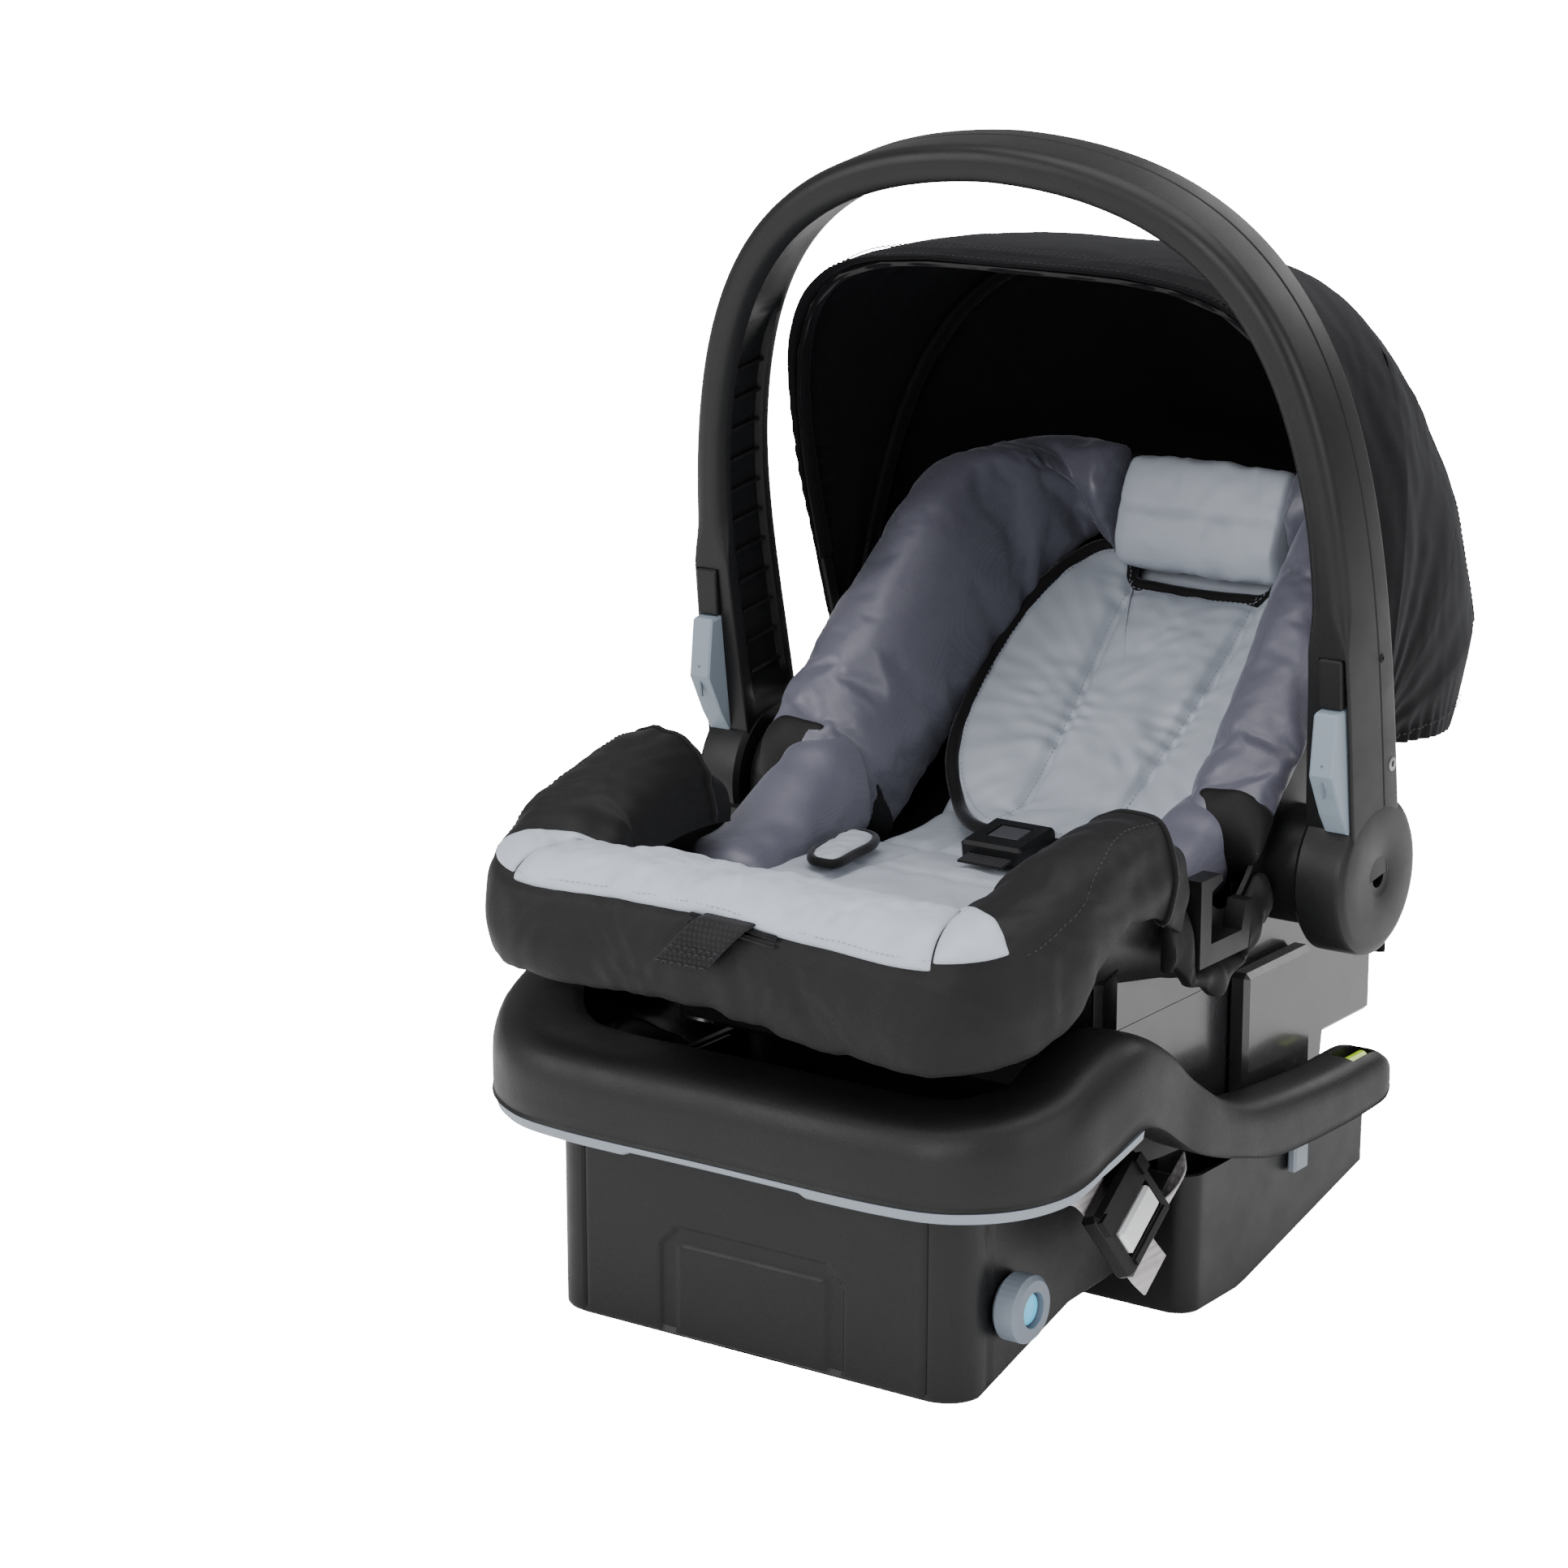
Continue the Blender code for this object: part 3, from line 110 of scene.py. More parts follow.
# ------------------------------------------------------------------ numbers and curves
def ease(share: np.ndarray | float) -> np.ndarray | float:
    """Smooth step from 0 to 1, held outside."""
    share = np.clip(share, 0.0, 1.0)
    return share * share * (3 - 2 * share)


def through(points: Sequence[Sequence[float]], count: int, closed: bool = False) -> np.ndarray:
    """Points at even steps of a smooth curve through the given ones.

    Args:
        points: What the curve passes through; any number of values each.
        count: How many points to return.
        closed: Whether the curve runs back to its start.

    Returns:
        An array of count rows.
    """
    given = np.asarray(points, float)
    spans = len(given) if closed else len(given) - 1
    t = np.linspace(0, 1, STEPS_PER_SPAN, endpoint=False)[:, None]
    fine = []
    for i in range(spans):
        if closed:
            a, b, c, d = (given[(i + k) % len(given)] for k in (-1, 0, 1, 2))
        else:
            b, c = given[i], given[i + 1]
            a = given[i - 1] if i else 2 * b - c
            d = given[i + 2] if i + 2 < len(given) else 2 * c - b
        square, cube = 2 * a - 5 * b + 4 * c - d, 3 * b - a - 3 * c + d
        fine.append(0.5 * (2 * b + (c - a) * t + square * t**2 + cube * t**3))
    fine.append(given[:1] if closed else given[-1:])
    line = np.concatenate(fine)
    far = distances(line[:, :3])
    at = np.linspace(0, far[-1], count + (1 if closed else 0))
    even = np.stack([np.interp(at, far, line[:, k]) for k in range(line.shape[1])], axis=1)
    return even[:-1] if closed else even


def distances(line: np.ndarray) -> np.ndarray:
    """How far along a line each of its points lies."""
    return np.concatenate([[0], np.cumsum(np.linalg.norm(np.diff(line, axis=0), axis=1))])


def headings(line: np.ndarray) -> np.ndarray:
    """Unit directions along a line."""
    ahead = np.gradient(line, axis=0)
    return ahead / np.linalg.norm(ahead, axis=1)[:, None]


def outward(path: np.ndarray) -> np.ndarray:
    """Unit directions in plan, away from the middle, of a path that runs from right to left."""
    ahead = headings(path[:, :2])
    return np.stack((-ahead[:, 1], ahead[:, 0]), axis=1)


def full_turn(count: int) -> np.ndarray:
    """Even angles round a circle."""
    return np.linspace(0, 2 * math.pi, count, endpoint=False)


def squarish(wave: np.ndarray, power: float) -> np.ndarray:
    """A sine or cosine bent so that its circle becomes a rounded square."""
    return np.sign(wave) * np.abs(wave) ** power


def dip(gap: np.ndarray | float, width: float) -> np.ndarray | float:
    """1 where the gap is nought, falling off over the width."""
    return np.exp(-((gap / width) ** 2))


def ripple(points: np.ndarray, size: float, seed: int) -> np.ndarray:
    """Smooth unevenness from -1 to 1 over points in space.

    Args:
        points: Array whose last axis is x, y, z.
        size: Rough distance between two bumps, in metres.
        seed: Which unevenness.
    """
    rng = np.random.default_rng(seed)
    total = np.zeros(points.shape[:-1])
    warp = np.zeros_like(points)
    for _ in range(3):
        way = rng.normal(size=3)
        way /= np.linalg.norm(way)
        push = rng.normal(size=3)
        phase = rng.uniform(0, 6.3)
        warp = warp + 0.35 * size * np.sin(points @ way * 2.2 / size + phase)[..., None] * push
    for _ in range(7):
        way = rng.normal(size=3)
        way *= rng.uniform(0.7, 1.5) / np.linalg.norm(way)
        total = total + np.sin((points + warp) @ way * 2 * math.pi / size + rng.uniform(0, 6.3))
    return total / 4.0


# ------------------------------------------------------------------ meshes
class Solid:
    """Vertices and faces of one closed piece, gathered part by part."""

    def __init__(self) -> None:
        """Start with nothing."""
        self.points: list[np.ndarray] = []
        self.faces: list[tuple[int, ...]] = []
        self.count = 0

    def _add(self, points: np.ndarray) -> int:
        """Take in more points, and say where they start."""
        start = self.count
        self.points.append(points.reshape(-1, 3))
        self.count += len(self.points[-1])
        return start

    def loft(self, grid: Grid, ends: bool = True, ring: bool = False) -> "Solid":
        """Rings of points (rows), each closed on itself, joined in order.

        Args:
            grid: The rings.
            ends: Whether the first and last ring get a face.
            ring: Whether the last ring joins the first.
        """
        rows, columns = grid.shape[:2]
        start = self._add(grid)
        for i in range(rows if ring else rows - 1):
            for j in range(columns):
                a, b = start + i * columns, start + ((i + 1) % rows) * columns
                k = (j + 1) % columns
                self.faces.append((a + j, a + k, b + k, b + j))
        if ends and not ring:
            self.faces.append(tuple(start + j for j in reversed(range(columns))))
            self.faces.append(tuple(start + (rows - 1) * columns + j for j in range(columns)))
        return self

    def sheet(self, front: Grid, back: Grid) -> "Solid":
        """Two matching grids joined round their four edges."""
        rows, columns = front.shape[:2]
        a, b = self._add(front), self._add(back)
        for i in range(rows - 1):
            for j in range(columns - 1):
                p = i * columns + j
                self.faces.append((a + p, a + p + 1, a + p + columns + 1, a + p + columns))
                self.faces.append((b + p, b + p + columns, b + p + columns + 1, b + p + 1))
        loop = list(range(columns))
        loop += [i * columns + columns - 1 for i in range(1, rows)]
        loop += [(rows - 1) * columns + j for j in reversed(range(columns - 1))]
        loop += [i * columns for i in reversed(range(1, rows - 1))]
        for p, q in zip(loop, loop[1:] + loop[:1]):
            self.faces.append((a + q, a + p, b + p, b + q))
        return self

    def turned(
        self, profile: Sequence[tuple[float, float]], at: Sequence[float], sides: int = 72
    ) -> "Solid":
        """A closed (x, radius) profile turned about the X axis through a (y, z) place."""
        rings = [
            [(x, at[0] + r * math.cos(turn), at[1] + r * math.sin(turn)) for x, r in profile]
            for turn in full_turn(sides)
        ]
        return self.loft(np.array(rings), ring=True)

    def tube(
        self, line: np.ndarray, radius: float, sides: int = 10, closed: bool = False
    ) -> "Solid":
        """A round cord along a line."""
        ahead = np.roll(line, -1, 0) - np.roll(line, 1, 0) if closed else np.gradient(line, axis=0)
        ahead /= np.linalg.norm(ahead, axis=1)[:, None] + 1e-12
        side = np.cross(ahead, (0.13, 0.31, 0.94))
        side /= np.linalg.norm(side, axis=1)[:, None]
        up = np.cross(side, ahead)
        turns = full_turn(sides)[None, :, None]
        ring = side[:, None] * np.cos(turns) + up[:, None] * np.sin(turns)
        return self.loft(line[:, None] + ring * radius, ring=closed)

    def brick(self, centre: Vector, axes: Sequence[Vector], halves: Sequence[float]) -> "Solid":
        """A box about a centre, along three directions."""
        x, y, z = (np.array(axis) * half for axis, half in zip(axes, halves))
        low = [np.array(centre) + p - z for p in (-x - y, x - y, x + y, -x + y)]
        high = [point + 2 * z for point in low]
        return self.loft(np.array([low, high]))

    def mesh(self, name: str) -> bpy.types.Mesh:
        """The finished mesh, centred like the frame, with its faces outwards."""
        points = np.concatenate(self.points)
        points[:, 1] += LAYOUT.slide
        made = bpy.data.meshes.new(name)
        made.from_pydata(points.tolist(), [], self.faces)
        shape = bmesh.new()
        shape.from_mesh(made)
        bmesh.ops.recalc_face_normals(shape, faces=shape.faces)
        shape.to_mesh(made)
        shape.free()
        return made

    def show(
        self,
        name: str,
        material: bpy.types.Material,
        body: Body | None,
        sharp: float = 40.0,
        replaces: Iterable[str] = (),
    ) -> bpy.types.Object:
        """Finish the mesh and put it in the scene."""
        return show(name, self.mesh(name), material, body, sharp, replaces)


def placed(name: str, data: bpy.types.ID) -> bpy.types.Object:
    """A new object with this data, linked into the scene."""
    made = bpy.data.objects.new(name, data)
    bpy.context.scene.collection.objects.link(made)
    return made


def settled(holder: bpy.types.Object) -> bpy.types.Mesh:
    """The mesh with its object's modifiers applied; the object is removed."""
    bpy.context.view_layer.update()
    seen = holder.evaluated_get(bpy.context.evaluated_depsgraph_get())
    made = bpy.data.meshes.new_from_object(seen)
    bpy.data.objects.remove(holder, do_unlink=True)
    return made


def show(
    name: str,
    mesh: bpy.types.Mesh,
    material: bpy.types.Material,
    body: Body | None,
    sharp: float = 40.0,
    replaces: Iterable[str] = (),
) -> bpy.types.Object:
    """Put a finished piece in the scene, on its body.

    Args:
        name: The piece's name.
        mesh: Its mesh, already in place.
        material: What it is made of.
        body: The body it rides on, or None where it rides on none or on a small one.
        sharp: Edges over this many degrees stay crisp.
        replaces: Solids of the frame that it stands for.
    """
    made = placed(name, mesh)
    mesh.materials.clear()
    mesh.materials.append(material)
    mesh.shade_smooth()
    mesh.set_sharp_from_angle(angle=math.radians(sharp))
    if replaces:
        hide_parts(*replaces)
    if body:
        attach(made, body.value)
    LOG.info("%s: %d faces", name, len(mesh.polygons))
    return made


def cushion(
    name: str,
    mesh: bpy.types.Mesh,
    material: bpy.types.Material,
    replaces: Iterable[str] = (),
) -> None:
    """Show a padded piece of the carrier."""
    show(name, mesh, material, Body.CARRIER, CLOTH_SHARP, replaces)


def finer(mesh: bpy.types.Mesh) -> bpy.types.Mesh:
    """The mesh with one level of smooth subdivision applied."""
    holder = placed("finer", mesh)
    split = holder.modifiers.new("split", "SUBSURF")
    split.levels = split.render_levels = 1
    return settled(holder)


def carve(mesh: bpy.types.Mesh, cutter: bpy.types.Mesh) -> bpy.types.Mesh:
    """The mesh less the cutter's shape."""
    held, blade = placed("carve", mesh), placed("blade", cutter)
    knife = held.modifiers.new("cut", "BOOLEAN")
    knife.operation = "DIFFERENCE"
    knife.solver = "EXACT"
    knife.object = blade
    made = settled(held)
    bpy.data.objects.remove(blade, do_unlink=True)
    return made


def fill_inputs(tree: bpy.types.NodeTree, node: bpy.types.Node, inputs: dict) -> None:
    """Link the inputs that are given sockets, and set the others."""
    for key, value in inputs.items():
        if isinstance(value, bpy.types.NodeSocket):
            tree.links.new(value, node.inputs[key])
        else:
            node.inputs[key].default_value = value


def add_node(
    tree: bpy.types.NodeTree, kind: str, inputs: dict | None = None, **settings: object
) -> bpy.types.NodeSocket:
    """Add a node with its settings and inputs, and return its first output."""
    made = tree.nodes.new(kind)
    for key, value in settings.items():
        setattr(made, key, value)
    fill_inputs(tree, made, inputs or {})
    return made.outputs[0]


# ------------------------------------------------------------------ finishes
def linear(code: str) -> tuple[float, float, float, float]:
    """An sRGB hex code as linear red, green, blue and alpha."""
    parts = [int(code[i : i + 2], 16) / 255 for i in (1, 3, 5)]
    return (*(c / 12.92 if c <= 0.04045 else ((c + 0.055) / 1.055) ** 2.4 for c in parts), 1.0)


def blank(
    name: str,
) -> tuple[bpy.types.Material, bpy.types.NodeTree, bpy.types.Node, bpy.types.NodeSocket]:
    """A new material, its tree and shader, and the place on the piece.

    Args:
        name: The material's name.

    Returns:
        The material, its tree, its shader and the Object coordinates.
    """
    made = bpy.data.materials.new(name)
    made.use_nodes = True
    tree = made.node_tree
    place = tree.nodes.new("ShaderNodeTexCoord").outputs["Object"]
    return made, tree, tree.nodes["Principled BSDF"], place


@dataclass(frozen=True)
class Plastic:
    """An injection-moulded finish."""

    name: str
    colour: str
    roughness: float
    grain: float = 0.0007  # metres between the marks of the tool's texture
    relief: float = 0.25
    coat: float = 0.0
    shine: float = 0.24

    def material(self) -> bpy.types.Material:
        """The tool's texture, and slight unevenness of the gloss in blotches of some 26 mm."""
        made, tree, shader, place = blank(self.name)
        marks = {"Vector": place, "Scale": 1 / self.grain, "Detail": 2.0, "Roughness": 0.6}
        height = add_node(tree, "ShaderNodeTexNoise", marks)
        blotch = add_node(tree, "ShaderNodeTexNoise", {"Vector": place, "Scale": 38.0, "Detail": 3.0})
        gloss = {
            "Value": blotch,
            "From Min": 0.3,
            "From Max": 0.7,
            "To Min": self.roughness - 0.04,
            "To Max": self.roughness + 0.05,
        }
        bump = {"Height": height, "Strength": self.relief, "Distance": 0.00025}
        looks = {
            "Base Color": linear(self.colour),
            "Roughness": add_node(tree, "ShaderNodeMapRange", gloss),
            "Normal": add_node(tree, "ShaderNodeBump", bump),
            "Specular IOR Level": self.shine,
            "Coat Weight": self.coat,
            "Coat Roughness": 0.12,
        }
        fill_inputs(tree, shader, looks)
        return made


@dataclass(frozen=True)
class Weave:
    """A woven finish."""

    name: str
    colour: str
    deep: str  # painted shade between the threads, and a darker tone in random patches
    roughness: float
    sheen: float
    thread: float  # metres from thread to thread, coarser than real so that it shows
    crease: float  # metres of small creasing
    satin: float = 0.0  # how strong its highlights are

    def material(self) -> bpy.types.Material:
        """Threads both ways, patches of some 38 mm, creases of some 18 mm, and sheen."""
        made, tree, shader, place = blank(self.name)
        wave = {
            "Vector": place,
            "Scale": 0.16 / self.thread,
            "Distortion": 1.2,
            "Detail": 2.0,
            "Detail Scale": 1.5,
        }
        threads = [
            add_node(tree, "ShaderNodeTexWave", wave, wave_type="BANDS", bands_direction=way)
            for way in ("X", "Z")
        ]
        both = add_node(tree, "ShaderNodeMath", dict(enumerate(threads)), operation="MULTIPLY")
        patch = add_node(tree, "ShaderNodeTexNoise", {"Vector": place, "Scale": 26.0, "Detail": 4.0})
        tone = add_node(tree, "ShaderNodeMath", {0: both, 1: 0.45}, operation="MULTIPLY")
        tone = add_node(tree, "ShaderNodeMath", {0: tone, 1: patch}, operation="ADD")
        ramp = add_node(tree, "ShaderNodeMapRange", {"Value": tone, "From Min": 0.25, "From Max": 0.75})
        # painted shade: the darker colour fills the gaps between the threads; the random patches are the
        # cloth's own tone
        blend = tree.nodes.new("ShaderNodeMix")
        blend.data_type = "RGBA"
        fill_inputs(tree, blend, {0: ramp, 6: linear(self.deep), 7: linear(self.colour)})
        bump = {"Height": both, "Strength": 0.22, "Distance": self.thread * 0.2}
        normal = add_node(tree, "ShaderNodeBump", bump)
        if self.crease:
            rumple = {"Scale": 55.0, "Detail": 5.0, "Roughness": 0.55, "Distortion": 1.4}
            fold = add_node(tree, "ShaderNodeTexNoise", {"Vector": place, **rumple})
            bump = {"Height": fold, "Strength": 0.5, "Distance": self.crease * 2, "Normal": normal}
            normal = add_node(tree, "ShaderNodeBump", bump)
        looks = {
            "Base Color": blend.outputs[2],
            "Normal": normal,
            "Roughness": self.roughness,
            "Sheen Weight": self.sheen,
            "Sheen Roughness": 0.4,
            "Sheen Tint": linear("#c9ccd6"),
            "Specular IOR Level": 0.06 + 0.75 * self.satin,
        }
        fill_inputs(tree, shader, looks)
        return made


@dataclass(frozen=True)
class Metal:
    """A plated metal."""

    name: str
    colour: str
    roughness: float

    def material(self) -> bpy.types.Material:
        """Marks of the plating, some 1.4 mm apart."""
        made, tree, shader, place = blank(self.name)
        marks = add_node(tree, "ShaderNodeTexNoise", {"Vector": place, "Scale": 700.0, "Detail": 2.0})
        bump = {"Height": marks, "Strength": 0.1, "Distance": 0.0001}
        looks = {
            "Normal": add_node(tree, "ShaderNodeBump", bump),
            "Base Color": linear(self.colour),
            "Metallic": 1.0,
            "Roughness": self.roughness,
        }
        fill_inputs(tree, shader, looks)
        return made


@dataclass(frozen=True)
class Vial:
    """A clear tinted vial."""

    name: str
    colour: str

    def material(self) -> bpy.types.Material:
        """Clear acrylic over tinted liquid, with a faint painted glow though it is no lamp; its gloss drifts
        over some 17 mm.
        """
        made, tree, shader, place = blank(self.name)
        drift = add_node(tree, "ShaderNodeTexNoise", {"Vector": place, "Scale": 60.0})
        gloss = {"Value": drift, "To Min": 0.06, "To Max": 0.12}
        looks = {
            "Roughness": add_node(tree, "ShaderNodeMapRange", gloss),
            "Base Color": linear(self.colour),
            "Transmission Weight": 0.35,
            # painted glow: a little emission in the vial's own colour
            "Emission Color": linear(self.colour),
            "Emission Strength": 0.15,
        }
        fill_inputs(tree, shader, looks)
        return made


class Palette:
    """Every material of the scene, made once each; the comments say what each gives the eye."""

    FINISHES = {
        # matt black with a soft even highlight
        "black": Plastic("moulded_black_polypropylene", "#101011", 0.40),
        # the same, grained like leather
        "rim": Plastic("textured_black_polypropylene", "#111112", 0.46, 0.0014, 0.5),
        # smooth dark grey that mirrors the room faintly
        "dock": Plastic("polished_dark_grey_abs", "#262527", 0.24, 0.004, 0.03, 0.35, 0.4),
        # plain greys, a little blue, with a soft highlight
        "trim": Plastic("moulded_grey_abs", "#7b828b", 0.42),
        "lever": Plastic("moulded_blue_grey_abs", "#76818b", 0.40),
        "lever_dark": Plastic("engraving_shadow_abs", "#5d6770", 0.5),
        "knob": Plastic("moulded_slate_abs", "#69717b", 0.40),
        # bright, smooth and a little glossy
        "blue": Plastic("moulded_blue_abs", "#4fc0ea", 0.32, 0.002, 0.05, 0.3),
        "press": Plastic("moulded_dark_grey_abs", "#3a3b3f", 0.36, 0.002, 0.05),
        "silver": Plastic("painted_silver_abs", "#d3d4d6", 0.34, 0.002, 0.05, 0.2),
        # dull, fine, close cloth
        "canopy": Weave("black_polyester_poplin", "#0d0c0e", "#09080a", 0.72, 0.05, 0.0005, 0.00012),
        "cover": Weave("black_polyester_cover", "#0e0d0e", "#0a090a", 0.60, 0.04, 0.0005, 0.00025, 0.2),
        "binding": Weave("black_bias_binding", "#1b1a1b", "#0b0b0b", 0.66, 0.3, 0.0004, 0.0002),
        # cloth with long soft highlights along its bulges
        "satin": Weave("slate_polyester_satin", "#545460", "#464652", 0.40, 0.25, 0.0004, 0.00025, 0.6),
        "light": Weave("light_grey_satin", "#a2a8b2", "#959ba5", 0.46, 0.2, 0.0004, 0.00025, 0.4),
        # coarse ribs across, little shine
        "web_black": Weave("black_nylon_webbing", "#232223", "#0c0c0c", 0.58, 0.2, 0.0016, 0.0001),
        "web_grey": Weave("grey_polyester_webbing", "#b3aeaf", "#6f6b6c", 0.60, 0.3, 0.0022, 0.0001),
        "thread_grey": Weave("grey_sewing_thread", "#8f949d", "#6b7078", 0.7, 0.2, 0.0004, 0.0),
        "thread_black": Weave("black_sewing_thread", "#343234", "#1a1a1a", 0.7, 0.2, 0.0004, 0.0),
        # bright small heads
        "steel": Metal("zinc_plated_steel", "#8d8e90", 0.34),
        # a yellow-green vial with a faint painted glow
        "vial": Vial("tinted_level_vial", "#c4e62c"),
    }

    def __init__(self) -> None:
        """Make them."""
        for key, finish in self.FINISHES.items():
            setattr(self, key, finish.material())


PALETTE = Palette()


# ------------------------------------------------------------------ sewing
class Sewing:
    """Rows of stitches, laid along lines by a node group that repeats one thread bead."""

    def __init__(self) -> None:
        """Build the node group once."""
        self.group = self._build()

    @staticmethod
    def _build() -> bpy.types.NodeTree:
        """Beads spread along a curve, turned its way, and made real."""
        tree = bpy.data.node_groups.new("stitch_row", "GeometryNodeTree")
        for name, way, kind in (
            ("Line", "INPUT", "Geometry"),
            ("Pitch", "INPUT", "Float"),
            ("Length", "INPUT", "Float"),
            ("Radius", "INPUT", "Float"),
            ("Thread", "INPUT", "Material"),
            ("Stitches", "OUTPUT", "Geometry"),
        ):
            tree.interface.new_socket(name, in_out=way, socket_type=f"NodeSocket{kind}")
        given = tree.nodes.new("NodeGroupInput").outputs
        spread = add_node(
            tree,
            "GeometryNodeResampleCurve",
            {"Curve": given["Line"], "Length": given["Pitch"]},
            mode="LENGTH",
        )
        tangent = add_node(tree, "GeometryNodeInputTangent")
        turn = add_node(tree, "FunctionNodeAlignRotationToVector", {"Vector": tangent}, axis="Z")
        ball = {"Segments": 6, "Rings": 4, "Radius": 1.0}
        bead = add_node(tree, "GeometryNodeMeshUVSphere", ball)
        half = add_node(tree, "ShaderNodeMath", {0: given["Length"], 1: 0.5}, operation="MULTIPLY")
        size = add_node(
            tree, "ShaderNodeCombineXYZ", {0: given["Radius"], 1: given["Radius"], 2: half}
        )
        beads = {"Points": spread, "Instance": bead, "Rotation": turn, "Scale": size}
        place = add_node(tree, "GeometryNodeInstanceOnPoints", beads)
        real = add_node(tree, "GeometryNodeRealizeInstances", {0: place})
        coat = add_node(tree, "GeometryNodeSetMaterial", {0: real, "Material": given["Thread"]})
        fill_inputs(tree, tree.nodes.new("NodeGroupOutput"), {0: coat})
        return tree

    def rows(
        self,
        name: str,
        lines: Iterable[np.ndarray],
        thread: bpy.types.Material,
        body: Body | None,
        pitch: float = 0.0042,
        length: float = 0.0031,
        radius: float = 0.0004,
    ) -> bpy.types.Object:
        """One object of stitches along every given line."""
        curve = bpy.data.curves.new(name, "CURVE")
        curve.dimensions = "3D"
        for line in lines:
            spline = curve.splines.new("POLY")
            spline.points.add(len(line) - 1)
            for point, (x, y, z) in zip(spline.points, line):
                point.co = (x, y + LAYOUT.slide, z, 1)
        holder = placed(name + "_lines", curve)
        sewn = holder.modifiers.new("stitches", "NODES")
        sewn.node_group = self.group
        ids = {
            item.name: item.identifier
            for item in self.group.interface.items_tree
            if item.in_out == "INPUT"
        }
        values = {"Pitch": pitch, "Length": length, "Radius": radius, "Thread": thread}
        for key, value in values.items():
            sewn[ids[key]] = value
        return show(name, settled(holder), thread, body, sharp=80)


SEWING = Sewing()


class Stuffing:
    """Fills a closed cloth shape so it bulges and creases between its seams."""

    FRAMES = 20
    CLOTH = {
        "quality": 5,
        "mass": 0.25,
        "tension_stiffness": 18,
        "compression_stiffness": 18,
        "shear_stiffness": 6,
        "bending_stiffness": 0.35,
        "air_damping": 2.0,
        "use_pressure": True,
        "vertex_group_mass": "held",
    }

    @classmethod
    def fill(
        cls, mesh: bpy.types.Mesh, pinned: np.ndarray, pressure: float, slack: float, most: float
    ) -> bpy.types.Mesh:
        """Blow the shape up as cloth.

        Args:
            mesh: The sewn shape.
            pinned: How firmly each vertex is held, 0 to 1.
            pressure: How hard it is filled.
            slack: How much bigger the cloth is cut than the shape, as a share.
            most: The furthest a point may move, in metres.

        Returns:
            The filled mesh.
        """
        before = np.array([v.co for v in mesh.vertices])
        item = placed("stuffing", mesh)
        held = item.vertex_groups.new(name="held")
        for index, weight in enumerate(pinned):
            if weight > 0.01:
                held.add([index], float(weight), "REPLACE")
        cloth = item.modifiers.new("cloth", "CLOTH")
        feel = cloth.settings
        for key, value in cls.CLOTH.items():
            setattr(feel, key, value)
        feel.uniform_pressure_force = pressure
        feel.shrink_min = -slack
        feel.effector_weights.gravity = 0.0
        cloth.collision_settings.use_collision = False
        cloth.point_cache.frame_start = 1
        cloth.point_cache.frame_end = cls.FRAMES
        scene = bpy.context.scene
        for number in range(1, cls.FRAMES + 1):
            scene.frame_set(number)
        seen = item.evaluated_get(bpy.context.evaluated_depsgraph_get())
        filled = bpy.data.meshes.new_from_object(seen)
        bpy.data.objects.remove(item, do_unlink=True)
        scene.frame_set(1)
        moved = np.array([v.co for v in filled.vertices]) - before
        far = np.linalg.norm(moved, axis=1)
        moved *= np.minimum(1, most / np.maximum(far, 1e-9))[:, None]
        filled.vertices.foreach_set("co", (before + moved).ravel())
        LOG.info("stuffed: furthest %.1f mm", far.max() * 1000)
        return filled


# ------------------------------------------------------------------ handle
@dataclass(frozen=True)
class ArchSize:
    """The swing handle."""

    reach: float = 0.410
    tilt: float = math.radians(8)
    root_thick: float = 0.031
    grip_thick: float = 0.022
    root_depth: float = 0.056
    grip_depth: float = 0.046
    hub_radius: float = 0.046
    pocket_low: float = 0.0313
    pocket_high: float = 0.1383
    pocket_floor: float = 0.0177
    pocket_width: float = 0.0159
    skin: float = 0.002
    corner: float = 0.004
    slim_over: float = 0.4  # share of the arch over which it slims
    ribs: int = 11
    rib_start: float = 0.070
    rib_step: float = 0.019


